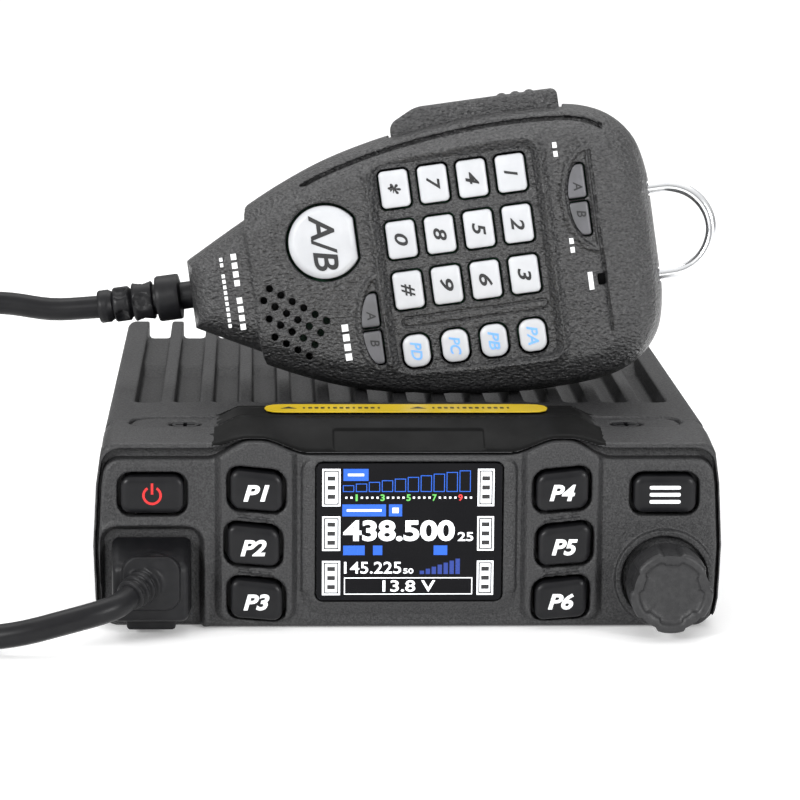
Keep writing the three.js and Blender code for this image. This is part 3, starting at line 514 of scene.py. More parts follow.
def rectangle(a, b, middle_a, middle_b, width, height, radius):
    qa = np.abs(a - middle_a) - (width / 2 - radius)
    qb = np.abs(b - middle_b) - (height / 2 - radius)
    return np.hypot(np.maximum(qa, 0), np.maximum(qb, 0)) + np.minimum(np.maximum(qa, qb), 0) - radius


def circle(a, b, middle_a, middle_b, radius):
    return np.hypot(a - middle_a, b - middle_b) - radius


def ellipse(a, b, middle_a, middle_b, reach_a, reach_b):
    """Roughly the distance to an ellipse, good near its edge."""
    near = np.hypot((a - middle_a) / reach_a, (b - middle_b) / reach_b)
    slope = np.hypot((a - middle_a) / reach_a ** 2, (b - middle_b) / reach_b ** 2)
    return near * (near - 1) / np.maximum(slope, 1e-6)


def polygon(a, b, corners):
    """Signed distance to a closed polygon."""
    corners = np.asarray(corners, np.float32)
    shape = np.broadcast_shapes(np.shape(a), np.shape(b))
    nearest = np.full(shape, 1e9, np.float32)
    inside = np.zeros(shape, bool)
    for i, (a0, b0) in enumerate(corners):
        a1, b1 = corners[i - 1]
        da, db = a1 - a0, b1 - b0
        pa, pb = a - a0, b - b0
        t = np.clip((pa * da + pb * db) / (da * da + db * db), 0, 1)
        nearest = np.minimum(nearest, (pa - t * da) ** 2 + (pb - t * db) ** 2)
        crosses = ((b0 > b) != (b1 > b)) & (pa < da * pb / (db if db else 1e-9))
        inside ^= crosses
    return np.where(inside, -1, 1) * np.sqrt(nearest)


def meet(d1, d2, radius=0.0):
    """What is inside both, with its edge rounded."""
    if not radius:
        return np.maximum(d1, d2)
    rounded = np.hypot(np.maximum(d1 + radius, 0), np.maximum(d2 + radius, 0))
    return np.minimum(np.maximum(d1, d2), -radius) + rounded


def join(d1, d2, radius=0.0):
    """What is inside either, with a fillet between them."""
    return -meet(-d1, -d2, radius)


def carve(solid, tool, radius=0.0):
    """The solid without the tool, with the edge rounded."""
    return meet(solid, -tool, radius)


# ---------------------------------------------------------------- camera, light and floor
CAMERA_PLACE = (-31.5, -745.0, 173.2)
CAMERA_TARGET = (0.15, -24.0, 38.4)
CAMERA_LENS = 151.3
CAMERA_ROLL = 0.45
FLOOR_HALF_WIDTH = 40.0
FLOOR_GLOW = 0.2
HORIZON_LIGHT = 0.2
ZENITH_LIGHT = 1.25
def add_camera():
    place, target = Vector(CAMERA_PLACE) * MM, Vector(CAMERA_TARGET) * MM
    data = bpy.data.cameras.new("camera")
    data.lens = CAMERA_LENS
    data.sensor_width = 36.0
    data.clip_start = 0.01
    data.clip_end = 100
    camera = bpy.data.objects.new("camera", data)
    bpy.context.scene.collection.objects.link(camera)
    aim = (target - place).to_track_quat("-Z", "Y").to_matrix().to_4x4()
    camera.matrix_world = Matrix.Translation(place) @ aim @ Matrix.Rotation(math.radians(CAMERA_ROLL), 4, "Z")
    bpy.context.scene.camera = camera


def add_area_light(name, place, target, size, power):
    data = bpy.data.lights.new(name, "AREA")
    data.shape = "RECTANGLE"
    data.size, data.size_y = size
    data.energy = power
    light = bpy.data.objects.new(name, data)
    bpy.context.scene.collection.objects.link(light)
    place, target = Vector(place), Vector(target)
    turn = (target - place).to_track_quat("-Z", "Y").to_matrix().to_4x4()
    light.matrix_world = Matrix.Translation(place) @ turn


def add_studio():
    world = bpy.data.worlds.new("studio")
    world.use_nodes = True
    nodes, links = world.node_tree.nodes, world.node_tree.links
    where = nodes.new("ShaderNodeTexCoord")
    parts = nodes.new("ShaderNodeSeparateXYZ")
    sky = nodes.new("ShaderNodeMapRange")
    sky.inputs["To Min"].default_value = HORIZON_LIGHT
    sky.inputs["To Max"].default_value = ZENITH_LIGHT
    links.new(where.outputs["Generated"], parts.inputs["Vector"])
    links.new(parts.outputs["Z"], sky.inputs["Value"])
    background = nodes["Background"]
    background.inputs["Color"].default_value = (1.0, 1.0, 1.0, 1)
    links.new(sky.outputs["Result"], background.inputs["Strength"])
    bpy.context.scene.world = world
    middle = (0, 0, 0.04)
    add_area_light("top_softbox", (0.0, 0.35, 1.0), middle, (1.2, 0.5), 4)
    add_area_light("left_softbox", (-1.2, -1.5, 0.8), middle, (0.6, 0.35), 27)
    add_area_light("right_softbox", (1.2, -1.5, 0.6), middle, (0.4, 0.35), 17)
    floor_material = grained("floor", (0.90, 0.90, 0.90), (0.92, 0.92, 0.92), 0.6, 5, 0.01, 60, specular=0.2)
    shader = floor_material.node_tree.nodes["Principled BSDF"]
    shader.inputs["Emission Color"].default_value = (1, 1, 1, 1)
    shader.inputs["Emission Strength"].default_value = FLOOR_GLOW
    half = FLOOR_HALF_WIDTH
    mesh = bpy.data.meshes.new("floor")
    mesh.from_pydata([(-half, -half, 0), (half, -half, 0), (half, half, 0), (-half, half, 0)], [],
                     [(0, 1, 2, 3)])
    mesh.materials.append(floor_material)
    floor = bpy.data.objects.new("floor", mesh)
    bpy.context.scene.collection.objects.link(floor)
    bpy.context.scene.view_settings.view_transform = "Standard"


# ---------------------------------------------------------------- cord
PLUG_EXIT_WAY = np.array([-0.5, -0.8, -0.24]) / np.linalg.norm([-0.5, -0.8, -0.24])
PLUG_EXIT_START = np.array([-52.4, -80.8, 12.3])
PLUG_RELIEF_LENGTH = 8.5
PLUG_RELIEF_END = PLUG_EXIT_START + PLUG_EXIT_WAY * PLUG_RELIEF_LENGTH
MIC_RELIEF_END_U = -85.3
CURL_NEAR_X, CURL_FAR_X = -113.0, -141.0
CURL_START_Y, CURL_TURN_Y = 9.6, 84.0
CURL_HEIGHT = CURL_RADIUS + 0.05
CURL_PITCH, CURL_BEND_PITCH = 5.35, 8.8
LEAD_PITCH = 26.0

UPPER_ROUTE = [
    (-76, -11.4, 56.4), (-86, -10.8, 57.6), (-95, -10.2, 57.4), (-103, -9, 53.6), (-108.5, -7.2, 46.5),
    (-111.5, -5.2, 37), (-112.8, -4.2, 27), (-113.1, -2.6, 18), (-113.1, 0.8, 11.4), (-113, 5, 8.9),
]
LOWER_ROUTE = [
    (-141, 5, 7.6), (-140.7, -1.5, 5), (-140, -9, 3.2), (-137.5, -24, 2.6), (-132, -42, 2.6),
    (-124, -59, 2.6),
    (-113, -75, 2.6), (-101, -87, 2.7), (-89, -93.5, 3.1), (-79, -95.6, 4.5), (-70.5, -95, 6.4),
]


def smooth_route(points, spacing):
    """A centripetal Catmull-Rom curve through points, sampled evenly."""
    points = np.asarray(points, float)
    points = np.concatenate([[2 * points[0] - points[1]], points, [2 * points[-1] - points[-2]]])
    dense = []
    for p0, p1, p2, p3 in zip(points, points[1:], points[2:], points[3:]):
        t0 = 0.0
        t1 = t0 + np.linalg.norm(p1 - p0) ** 0.5
        t2 = t1 + np.linalg.norm(p2 - p1) ** 0.5
        t3 = t2 + np.linalg.norm(p3 - p2) ** 0.5
        for t in np.linspace(t1, t2, 24, endpoint=False):
            a1 = (t1 - t) / (t1 - t0) * p0 + (t - t0) / (t1 - t0) * p1
            a2 = (t2 - t) / (t2 - t1) * p1 + (t - t1) / (t2 - t1) * p2
            a3 = (t3 - t) / (t3 - t2) * p2 + (t - t2) / (t3 - t2) * p3
            b1 = (t2 - t) / (t2 - t0) * a1 + (t - t0) / (t2 - t0) * a2
            b2 = (t3 - t) / (t3 - t1) * a2 + (t - t1) / (t3 - t1) * a3
            dense.append((t2 - t) / (t2 - t1) * b1 + (t - t1) / (t2 - t1) * b2)
    dense.append(points[-2])
    return resampled(np.array(dense), spacing)


def resampled(path, spacing):
    steps = np.linalg.norm(np.diff(path, axis=0), axis=1)
    along = np.concatenate([[0], np.cumsum(steps)])
    count = max(2, round(along[-1] / spacing) + 1)
    where = np.linspace(0, along[-1], count)
    return np.stack([np.interp(where, along, path[:, i]) for i in range(3)], axis=1)


def curl_path():
    """The wound part: two legs of tight turns, and a bend where the turns lie further apart outside."""
    middle_x, bend_radius = (CURL_NEAR_X + CURL_FAR_X) / 2, (CURL_NEAR_X - CURL_FAR_X) / 2
    leg = CURL_TURN_Y - CURL_START_Y
    bend = math.pi * bend_radius
    total = 2 * leg + bend
    lead = 14.0
    mean_radius = CURL_RADIUS - CORD_DIAMETER / 2
    along = np.arange(0, total, 0.25)
    in_bend = ease((along - leg + 8) / 14) * ease((leg + bend + 8 - along) / 14)
    at_ends = (1 - ease(along / lead)) + (1 - ease((total - along) / lead))
    pitch = CURL_PITCH + (CURL_BEND_PITCH - CURL_PITCH) * in_bend + LEAD_PITCH * at_ends
    angle = np.concatenate([[0], np.cumsum(2 * np.pi * 0.25 / pitch)])[:-1] - np.pi / 2
    radius = mean_radius * ease(along / lead) * ease((total - along) / lead)
    turn = np.clip((along - leg) / bend_radius, 0, math.pi)
    axis_x = middle_x + bend_radius * np.cos(turn)
    axis_y = CURL_TURN_Y + bend_radius * np.sin(turn) - np.maximum(0, along - leg - bend)
    axis_y = np.where(along < leg, CURL_START_Y + along, axis_y)
    out = np.stack([np.cos(turn), np.sin(turn)], axis=1)
    spread = radius * np.cos(angle)
    path = np.stack([
        axis_x + out[:, 0] * spread, axis_y + out[:, 1] * spread, CURL_HEIGHT + radius * np.sin(angle),
    ], axis=1)
    return resampled(path, 1.9)


def add_cord(plug):
    start = mic_point(MIC_RELIEF_END_U + 0.3, 0, 0)
    curl = curl_path()
    upper = smooth_route([start, *UPPER_ROUTE, curl[0]], 2.2)
    lower_end = [PLUG_RELIEF_END - PLUG_EXIT_WAY * -4.5, PLUG_RELIEF_END - PLUG_EXIT_WAY * 0.5]
    lower = smooth_route([curl[-1], *LOWER_ROUTE, *lower_end], 2.2)
    path = np.concatenate([upper[:-1], curl, lower[1:]])
    points, faces = tube(path, CORD_DIAMETER / 2, 12)
    cord = add_piece(
        "microphone_cord", points, faces, "jacket", None, "cord_jacket",
        replaces=("cord_upper", "cord_curl", "cord_lower"), crease=60,
    )
    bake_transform(cord)


def plug_field(block):
    """The moulded boot: a block whose top slopes down to the front, with a latch tab under it."""
    x, y, z = block.x, block.y, block.z
    back, front = -72.3, -83.3
    forward = np.clip((back - y) / (back - front), 0, 1)
    top = 19.4 - 4.0 * forward ** 1.15
    low = 3.2 + 0.5 * forward
    half = 8.2 - 0.5 * forward
    sides = meet(np.abs(x - JACK_X) - half, slab(z, low, top), 1.6)
    boot = meet(sides, slab(y, front, back), 1.3)
    seam = meet(np.abs(z - 11.2) - 0.22, boot + 100, 0) + 0 * y
    boot = np.maximum(boot, -np.maximum(seam, -(boot + 0.5)))
    waist = meet(np.abs(np.abs(x - JACK_X) - 8.2) - 0.5, slab(y, -75.4, -74.6), 0.2)
    boot = carve(boot, waist, 0.2)
    tab = meet(rectangle(x, z, JACK_X, 2.7, 10.0, 3.2, 0.8), slab(y, -79.3, -72.8), 0.5)
    boot = join(boot, tab, 0.4)
    collar = meet(
        rectangle(x, z, JACK_X + 0.2, JACK_Z + 0.6, 11.6, 11.0, 3.0), slab(y, front - 0.9, front + 1), 0.5,
    )
    boot = join(boot, collar, 0.5)
    along = sum((axis - start) * way for axis, start, way in zip((x, y, z), PLUG_EXIT_START, PLUG_EXIT_WAY))
    apart = sum((axis - start - along * way) ** 2
                for axis, start, way in zip((x, y, z), PLUG_EXIT_START, PLUG_EXIT_WAY))
    apart = np.sqrt(apart)
    ring = 0.5 + 0.5 * np.cos(2 * np.pi * (along - 3.4) / 1.75)
    radius = 4.15 - 0.13 * along - 0.75 * ease(ring * 1.6 - 0.4) * ease((along - 2.2) / 0.6)
    relief = meet(apart - radius, slab(along, -3.0, PLUG_RELIEF_LENGTH), 0.4)
    return join(boot, relief, 0.5)


def add_plug():
    block = Block((-63, -92.5, 0.5), (-42, -71, 21), (0.22, 0.22, 0.22))
    parts = [block.surface(plug_field(block))]
    nose = [at_y(rounded_outline(rectangle_corners(JACK_X, JACK_Z, 11.7, 8.0), 0.5, 3),
                 y) for y in (-73.4, -60.3)]
    parts.append(skin(nose))
    points, faces = merged(parts)
    return add_piece("modular_plug", points, faces, "rubber", "radio", "black_rubber", replaces=("mic_plug",))


# ---------------------------------------------------------------- front panel
def hump(x):
    """1 on the hump in the middle, 0 at the sides."""
    return ease((HUMP_HALF_WIDTH + HUMP_SLOPE - np.abs(x)) / HUMP_SLOPE)


def panel_half_width(z):
    return np.interp(z, [0, 6, 17, 30, 40], [63.1, 64.2, 64.6, 63.9, 62.5]).astype(np.float32)


def crest(x):
    """1 over the preset keys, 0 at the sides and in the middle."""
    return ease((41.5 - np.abs(x)) / 9.0), ease((30.5 - np.abs(x)) / 10.0)


def face_top(x):
    """Height of the face plate's upper edge."""
    up, down = crest(x)
    return 35.5 + 3.6 * up - 2.95 * down


def slot_height(x):
    """Height of the dark gap between the face plate and the hood."""
    return 0.35 + 1.65 * ease((np.abs(x) - 32.5) / 9)


def wells():
    """Places of the key wells: name, left, right, bottom and top edge inside the flange, skew, and front."""
    places = []
    for name in ("power_key", "menu_key", *(f"key_{i}" for i in range(1, 7))):
        low, high = radio_box(name)
        flange = 0.8
        x0, x1, z0, z1 = low[0] + flange, high[0] - flange, low[2] + flange, high[2] - flange
        skew = 0 if name in ("power_key", "menu_key") else 1.2
        places.append((name, x0, x1, z0, z1, skew, low[1]))
    return places


def key_corners(x0, x1, z0, z1, skew, margin):
    """Corners of a key whose top and bottom edges fall towards the middle of the panel."""
    left_rise, right_rise = (skew, 0) if x0 + x1 < 0 else (0, skew)
    return [(x0 - margin, z0 + 0.7 * left_rise - margin), (x1 + margin, z0 + 0.7 * right_rise - margin),
            (x1 + margin, z1 - skew + right_rise + margin), (x0 - margin, z1 - skew + left_rise + margin)]


def panel_proud(x, z):
    """How far the face stands in front of the face plate, over x and z."""
    ridge = rectangle(np.abs(x), z, RIDGE_X, 26.0, RIDGE_WIDTH, 49.0, 3.0)
    proud = RIDGE_RISE * ease(0.1 - ridge / 1.7)
    bezel = rectangle(x, z, 0, 19.45, 44.6, 33.7, 3.2)
    around_lens = np.maximum(rectangle(x, z, 0, 20.6, 37.8, 28.6, 1.6), 0)
    proud = np.maximum(proud,
                       (RIDGE_RISE - np.where(z < 8, 0.45, 0.27) * around_lens) * ease(0.1 - bezel / 0.9))
    for gap_z in (PRESET_MIDDLE_Z - PRESET_PITCH / 2, PRESET_MIDDLE_Z + PRESET_PITCH / 2):
        fallen = z - gap_z - 0.12 * (np.abs(x) - RIDGE_X)
        for level in (-0.5, 0.6):
            line = rectangle(np.abs(x), fallen, RIDGE_X, level, 7.0, 0.3, 0.15)
            proud = proud - 0.4 * ease(1 - line / 0.35)
    reach = np.hypot(x - KNOB_X, z - KNOB_Z)
    ring = ease((10.5 - reach) / 0.4) * ease((reach - 8.6) / 0.4)
    proud = proud + 0.85 * ring - 1.0 * ease((8.9 - reach) / 0.5)
    for angle in np.radians([-90, -45, 0, 45, 110]):
        along = (x - KNOB_X) * math.sin(angle) + (z - KNOB_Z) * math.cos(angle)
        across = (x - KNOB_X) * math.cos(angle) - (z - KNOB_Z) * math.sin(angle)
        tick = rectangle(along, across, 9.55, 0, 1.5, 0.8, 0.4)
        proud = proud + 0.45 * ease(0.2 - tick / 0.35)
    recess = rectangle(x, z, JACK_X, 5.4, 20.9, 32.0, 3.4)
    proud = proud - 2.0 * ease(-recess / 1.1 + 0.2)
    lip = ease(1 - np.abs(recess - 0.5) / 1.0)
    return proud + 0.35 * lip


def panel_field(block):
    x, y, z = block.x, block.y, block.z
    width = panel_half_width(z)
    up, down = crest(x)
    hood_front = 38.4 + 1.5 * up - 3.2 * down
    back_top = BODY_HEIGHT + HUMP_RISE * hump(x)
    t = np.clip((y + 73.4) / 11.6, 0, 1)
    nameplate = rectangle(x, y, 0, -69.6, 31.2, 6.2, 0.8)
    hood_top = hood_front + (back_top - hood_front) * t * (1.2 - 0.2 * t) - 0.4 * ease(-nameplate / 0.35)
    outline = meet(np.abs(x) - width, -z, 3.5)
    shell = meet(outline, z - hood_top, 2.6)
    shell = meet(shell, -73.2 - y, 1.1)
    shell = np.maximum(shell, y - SPLIT_Y)

    slot = meet(np.abs(x) - (width - 0.5), z - (face_top(x) + slot_height(x)), 3.4)
    shell = carve(shell, np.maximum(slot, y + 70.9), 0.25)

    plate = meet(np.abs(x) - (width - 1.15), z - face_top(x), 3.0)
    plate = meet(plate, 0.3 - z, 3.0)
    proud = panel_proud(x, z)
    plate = meet(plate, -74.0 - proud - y, 0.8)
    plate = np.maximum(plate, y + 60.0)
    panel = np.minimum(shell, plate)

    cavity = rectangle(x, z, 0, 18.0, 2 * BODY_HALF_WIDTH - 3.2, 34.0, 2.0)
    panel = carve(panel, np.maximum(cavity, WALL_BACK_Y - y))
    for side in (-1, 1):
        tab = np.maximum(slab(x, side * SCREW_X - 5, side * SCREW_X + 5), slab(z, 33.2, 36.2))
        panel = np.minimum(panel, np.maximum(tab, slab(y, TONGUE_FRONT_Y - 1, SPLIT_Y + 3)))
    tongue = rectangle(x, y, 0, (TONGUE_FRONT_Y + TONGUE_BACK_Y) / 2, 115.7, 11.5, 5.5)
    panel = carve(panel, np.maximum(tongue, TONGUE_UNDER_Z - 0.3 - z), 0.3)

    for _, x0, x1, z0, z1, skew, _ in wells():
        outline = rounded_outline(key_corners(x0, x1, z0, z1, skew, 0.75), 2.7, 4)
        panel = carve(panel, np.maximum(polygon(x, z, outline), y + 69.0), 0.55)
    lens = rectangle(x, z, 0, 20.6, 38.5, 29.3, 1.6)
    panel = carve(panel, np.maximum(lens, y + 74.05), 0.25)
    spindle = circle(x, z, KNOB_X, KNOB_Z, 3.6)
    nose = rectangle(x, z, JACK_X, JACK_Z, 12.3, 8.6, 0.6)
    panel = carve(panel, np.maximum(np.minimum(spindle, nose), y + 69.0), 0.2)
    return panel


def add_front_panel():
    block = Block((-65.4, -76.6, -0.7), (65.4, -52.6, 43.4), (0.25, 0.25, 0.25))
    points, faces = block.surface(panel_field(block))
    panel = add_piece("panel_moulding", points, faces, "panel", "radio", "black_plastic",
                      replaces=("front_panel",))
    edge = HUMP_HALF_WIDTH + HUMP_SLOPE - 0.7
    paint(panel, "hood", lambda x, y,
          z: (np.abs(x) < edge) & (y > -73.0) & (z > face_top(x) + slot_height(x) + 0.2))


def add_front_keys():
    for name, x0, x1, z0, z1, skew, front in wells():
        def outline_at(margin):
            return rounded_outline(key_corners(x0, x1, z0, z1, skew, margin), max(0.4, 2.0 + margin))
        rings = cap_rings(outline_at, front, -69.2, edge=0.7, crown=0.22, flange=(0.8, -70.2))
        points, faces = skin(rings)
        add_piece(f"{name}_cap", points, faces, "smooth", name, "smooth_black", replaces=(name,), crease=40)


def add_knob():
    """The tuning knob: five finger scallops round its side and a dished front."""
    def scallops(angles, along):
        reach = ease((along - 3.0) / 1.2)
        depth = 0.0
        for i in range(5):
            away = np.abs((angles - 2 * np.pi * i / 5 + np.pi) % (2 * np.pi) - np.pi)
            depth = depth + ease((0.30 - away) / 0.10)
        return 1 - 0.115 * depth * reach
    rim = [(8.5 - 0.9 * (1 - math.cos(a)), 11.7 + 0.9 * math.sin(a)) for a in np.radians([0, 20, 40, 60, 80])]
    profile = [(3.0, -5.0), (3.0, 0.0), (7.3, 0.05), (7.4, 1.6), (7.9, 2.2), (8.35, 3.2), (8.5, 5.0),
               (8.5, 7.0),
               (8.5, 9.0), (8.5, 10.6), *rim, (7.3, 12.6), (6.9, 12.5)]
    knob = turned(profile + [(6.6, 12.2), (6.3, 11.85), (5.6, 11.65), (3.5, 11.5), (1.2, 11.45)],
                  (KNOB_X, -75.0, KNOB_Z), (0, -1, 0), (0, 0, 1), 120,
                  lambda angles, along: scallops(angles, along) if along < 12.58 else 1.0)
    add_piece("knob", *knob, "knob", "tuning_knob", "black_rubber", replaces=("tuning_knob",), crease=50)


# ---------------------------------------------------------------- heatsink casting
def casting_top(x, y):
    return BODY_HEIGHT + HUMP_RISE * hump(x) * ease((-48.2 - y) / 3.4)


def casting_field(block):
    x, y, z = block.x, block.y, block.z
    top = casting_top(x, y)
    body = meet(np.abs(x) - BODY_HALF_WIDTH, -z, 1.0)
    body = meet(body, z - top, 2.2)
    body = meet(body, slab(y, SPLIT_Y + 0.3, BACK_Y), 1.2)
    strip = rectangle(x, y, 0, (TONGUE_FRONT_Y + TONGUE_BACK_Y) / 2, 2 * TONGUE_HALF_WIDTH, 10.4, 5.0)
    tongue = meet(strip, slab(z, TONGUE_UNDER_Z, top - 0.25), 0.4)
    body = np.minimum(body, tongue)
    behind = np.maximum(np.abs(strip) - 0.3, SPLIT_Y - 0.2 - y)
    body = carve(body, np.maximum(behind, top - 1.0 - z), 0.2)
    body = carve(body, np.maximum(strip + 0.3, top - 0.3 - z), 0.15)
    for side in (-1, 1):
        pocket = ellipse(x, y, side * SCREW_X, SCREW_Y, 3.5, 3.0)
        body = carve(body, np.maximum(pocket, BODY_HEIGHT - 2 - z), 0.3)

    period = np.abs(np.mod(x + CHANNEL_COUNT / 2 * CHANNEL_PITCH, CHANNEL_PITCH) - CHANNEL_PITCH / 2)
    period = np.where(np.abs(x) < CHANNEL_COUNT / 2 * CHANNEL_PITCH, period, CHANNEL_PITCH)
    floor = CHANNEL_FLOOR_Z + 2.0 * ease((y - 22) / 6) - 1.4 * ease((y - 66) / 0.8)
    plan = meet(period - CHANNEL_WIDTH / 2, CHANNEL_FRONT_Y - y, 2.2)
    body = carve(body, meet(plan, floor - z, 1.0), 0.4)

    cavity = np.maximum(np.abs(x) - (BODY_HALF_WIDTH - 3), slab(z, -2, 32.5))
    body = carve(body, np.maximum(cavity, slab(y, -58, 71)))
    for name in ("antenna_socket", "power_inlet", "speaker_jack"):
        low, high = radio_box(name)
        hole = circle(x, z, (low[0] + high[0]) / 2, FITTING_Z, (high[0] - low[0]) / 2 - 0.7)
        body = carve(body, np.maximum(hole, 68 - y), 0.4)
    return body


def add_casting():
    block = Block((-63.5, -62.6, -0.8), (63.5, 75.2, 43.6), (0.3, 0.45, 0.3))
    points, faces = block.surface(casting_field(block))
    casting = add_piece("heatsink_casting", points, faces, "coat", "radio", "black_paint",
                        replaces=("chassis",))
    edge = HUMP_HALF_WIDTH + HUMP_SLOPE - 0.7
    paint(casting, "hood", lambda x, y, z: (np.abs(x) < edge) & (y < -48) & (z > BODY_HEIGHT + 0.15))


def prism(outline, place, depth):
    """A thin prism over a flat outline. place has x and y in the outline's plane and z out of the surface."""
    rings = [np.column_stack([outline, np.full(len(outline), level)]) for level in (0.0, depth)]
    rings = [np.array([(place @ Vector(point * MM)) / MM for point in ring]) for ring in rings]
    return skin(rings)


def frame_at(origin, right, up):
    """A matrix with x along right and y along up, at a point in millimetres."""
    right, up = Vector(right).normalized(), Vector(up).normalized()
    turn = Matrix((right, up, right.cross(up))).transposed().to_4x4()
    return Matrix.Translation(Vector(origin) * MM) @ turn


def add_label():
    """The film on the hump, with rows of plain dashes and a mark at each end of them."""
    _, high = radio_box("heat_label")
    top = high[2] + 0.02
    marks = []
    for group in (-13.5, 13.5):
        for i in range(13):
            x = group - 7.8 + i * 1.3
            width = 0.8 if i % 4 else 0.45
            for y, height in ((-56.3, 0.95), (-57.35, 0.35)):
                marks.append(rounded_outline(rectangle_corners(x, y, width, height), 0.1, 1))
        peak = group - 11.0
        marks.append(np.array([(peak - 1.7, -57.4), (peak + 1.7, -57.4), (peak, -55.4)]))
    place = frame_at((0, 0, top), (1, 0, 0), (0, 1, 0))
    points, faces = merged([prism(mark, place, 0.03) for mark in marks])
    add_piece("label_marks", points, faces, "black_ink", "radio", "smooth_black", crease=30)


def add_rear_fittings():
    """The threaded antenna socket, the power gland with its nut, and the loudspeaker jack with its ring."""
    way, across = (0, 1, 0), (0, 0, 1)

    def centre(name):
        low, high = radio_box(name)
        return ((low[0] + high[0]) / 2, 0, FITTING_Z), low[1], high[1]

    middle, inner, outer = centre("antenna_socket")
    thread = []
    along = 78.0
    while along < outer - 1.6:
        thread += [(6.75, along), (7.0, along + 0.25), (7.0, along + 0.45), (6.75, along + 0.7),
                   (6.75, along + 1.0)]
        along += 1.0
    bore = [(6.4, outer), (5.2, outer), (5.0, outer - 0.3), (5.0, outer - 7), (2.3, outer - 7),
            (2.3, outer - 1.5),
            (1.9, outer - 1.2), (1.9, outer - 7.6), (0.3, outer - 7.6)]
    profile = [(6.9, inner), (6.9, 74.35), (7.9, 74.4), (8.0, 74.7), (8.0, 76.0), (7.8, 76.3), (6.9, 76.35)]
    socket = turned(profile + thread + [(6.9, outer - 0.5)] + bore, middle, way, across, 72)
    add_piece("coaxial_socket", *socket, "chrome", "radio", "steel_bright", replaces=("antenna_socket",),
              crease=35)

    middle, inner, outer = centre("power_inlet")
    profile = [(6.0, inner), (6.0, 74.35), (6.9, 74.4), (7.0, 74.8), (7.0, 75.9), (6.6, 76.3), (6.0, 76.35)]
    for ring in range(4):
        start = 76.6 + ring * 1.3
        profile += [(5.3, start), (5.9 - 0.2 * ring, start + 0.2), (5.9 - 0.2 * ring, start + 0.9),
                    (5.2, start + 1.1)]
    profile += [(4.9, outer), (3.2, outer), (3.0, outer - 0.2), (3.0, outer - 6), (0.3, outer - 6)]
    gland = turned(profile, middle, way, across, 64)
    add_piece("power_gland", *gland, "rubber", "radio", "black_rubber", replaces=("power_inlet",), crease=35)

    middle, inner, outer = centre("speaker_jack")
    profile = [(3.5, inner), (3.5, 74.35), (4.4, 74.4), (4.5, 74.6), (4.5, 76.1), (4.3, 76.3), (3.5, 76.4),
               (3.5, outer - 0.2), (3.3, outer), (2.0, outer), (1.8, outer - 0.2), (1.8, outer - 8),
               (0.3, outer - 8)]
    knurl = turned(profile, middle, way, across, 72, lambda angles,
                   y: 1 + 0.02 * np.cos(24 * angles) * (74.5 < y < 76.2))
    add_piece("earphone_jack", *knurl, "steel", "radio", "steel_dull", replaces=("speaker_jack",), crease=35)


# ---------------------------------------------------------------- lettering and marks
def lettering(name, text, height, place, material, body, slot, width=None, slant=0.0, weight=0.0, depth=0.05):
    """Text as a thin raised mesh, centred on place and scaled to the height, and to the width if given."""
    curve = bpy.data.curves.new(name, "FONT")
    curve.body = text
    curve.shear = slant
    curve.offset = weight
    curve.resolution_u = 4
    made = bpy.data.objects.new(name, curve)
    bpy.context.scene.collection.objects.link(made)
    bpy.context.view_layer.update()
    mesh = bpy.data.meshes.new_from_object(made.evaluated_get(bpy.context.evaluated_depsgraph_get()))
    bpy.data.objects.remove(made)
    flat = np.array([vertex.co for vertex in mesh.vertices])
    low, high = flat.min(0), flat.max(0)
    scale_y = height / (high[1] - low[1])
    scale_x = scale_y if width is None else width / (high[0] - low[0])
    flat = (flat - (low + high) / 2) * (scale_x, scale_y, 0)
    faces = [tuple(polygon.vertices) for polygon in mesh.polygons]
    if mesh.polygons[0].normal.z < 0:
        faces = [face[::-1] for face in faces]
    uses = {}
    for face in faces:
        for a, b in zip(face, face[1:] + face[:1]):
            uses[(a, b)] = uses.get((a, b), 0) + 1
    rim = [edge for edge in uses if edge[::-1] not in uses]
    count = len(flat)
    points = np.concatenate([flat, flat + (0, 0, depth)])
    shell = [face[::-1] for face in faces] + [tuple(i + count for i in face) for face in faces]
    shell += [(a, b, b + count, a + count) for a, b in rim]
    return add_piece(name, points, shell, material, body, slot, place=place, crease=30)


def marks(name, outlines, place, material, body, slot, depth=0.05):
    """Several flat outlines as one thin raised mesh, in the frame of place."""
    points, faces = merged([prism(np.asarray(outline, float), place, depth) for outline in outlines])
    return add_piece(name, points, faces, material, body, slot, crease=30)


def bar(x0, y0, x1, y1, radius=0.0):
    corners = [(x0, y0), (x1, y0), (x1, y1), (x0, y1)]
    return rounded_outline(corners, radius, 2) if radius else np.array(corners)


def box_lines(x0, y0, x1, y1, line):
    """The four sides of an outlined box."""
    return [bar(x0, y0, x1, y0 + line), bar(x0, y1 - line, x1, y1),
            bar(x0, y0 + line, x0 + line, y1 - line), bar(x1 - line, y0 + line, x1, y1 - line)]


def arc_band(radius, width, start, end, steps=18):
    """Quads along an arc, as outlines; angles in degrees clockwise from the top."""
    angles = np.radians(np.linspace(start, end, steps + 1))
    inner, outer = radius - width / 2, radius + width / 2
    return [np.array([(outer * math.sin(b), outer * math.cos(b)), (outer * math.sin(a), outer * math.cos(a)),
                      (inner * math.sin(a), inner * math.cos(a)), (inner * math.sin(b), inner * math.cos(b))])
            for a, b in zip(angles, angles[1:])]


def on_front(x, y, z):
    return frame_at((x, y, z), (1, 0, 0), (0, 0, 1))


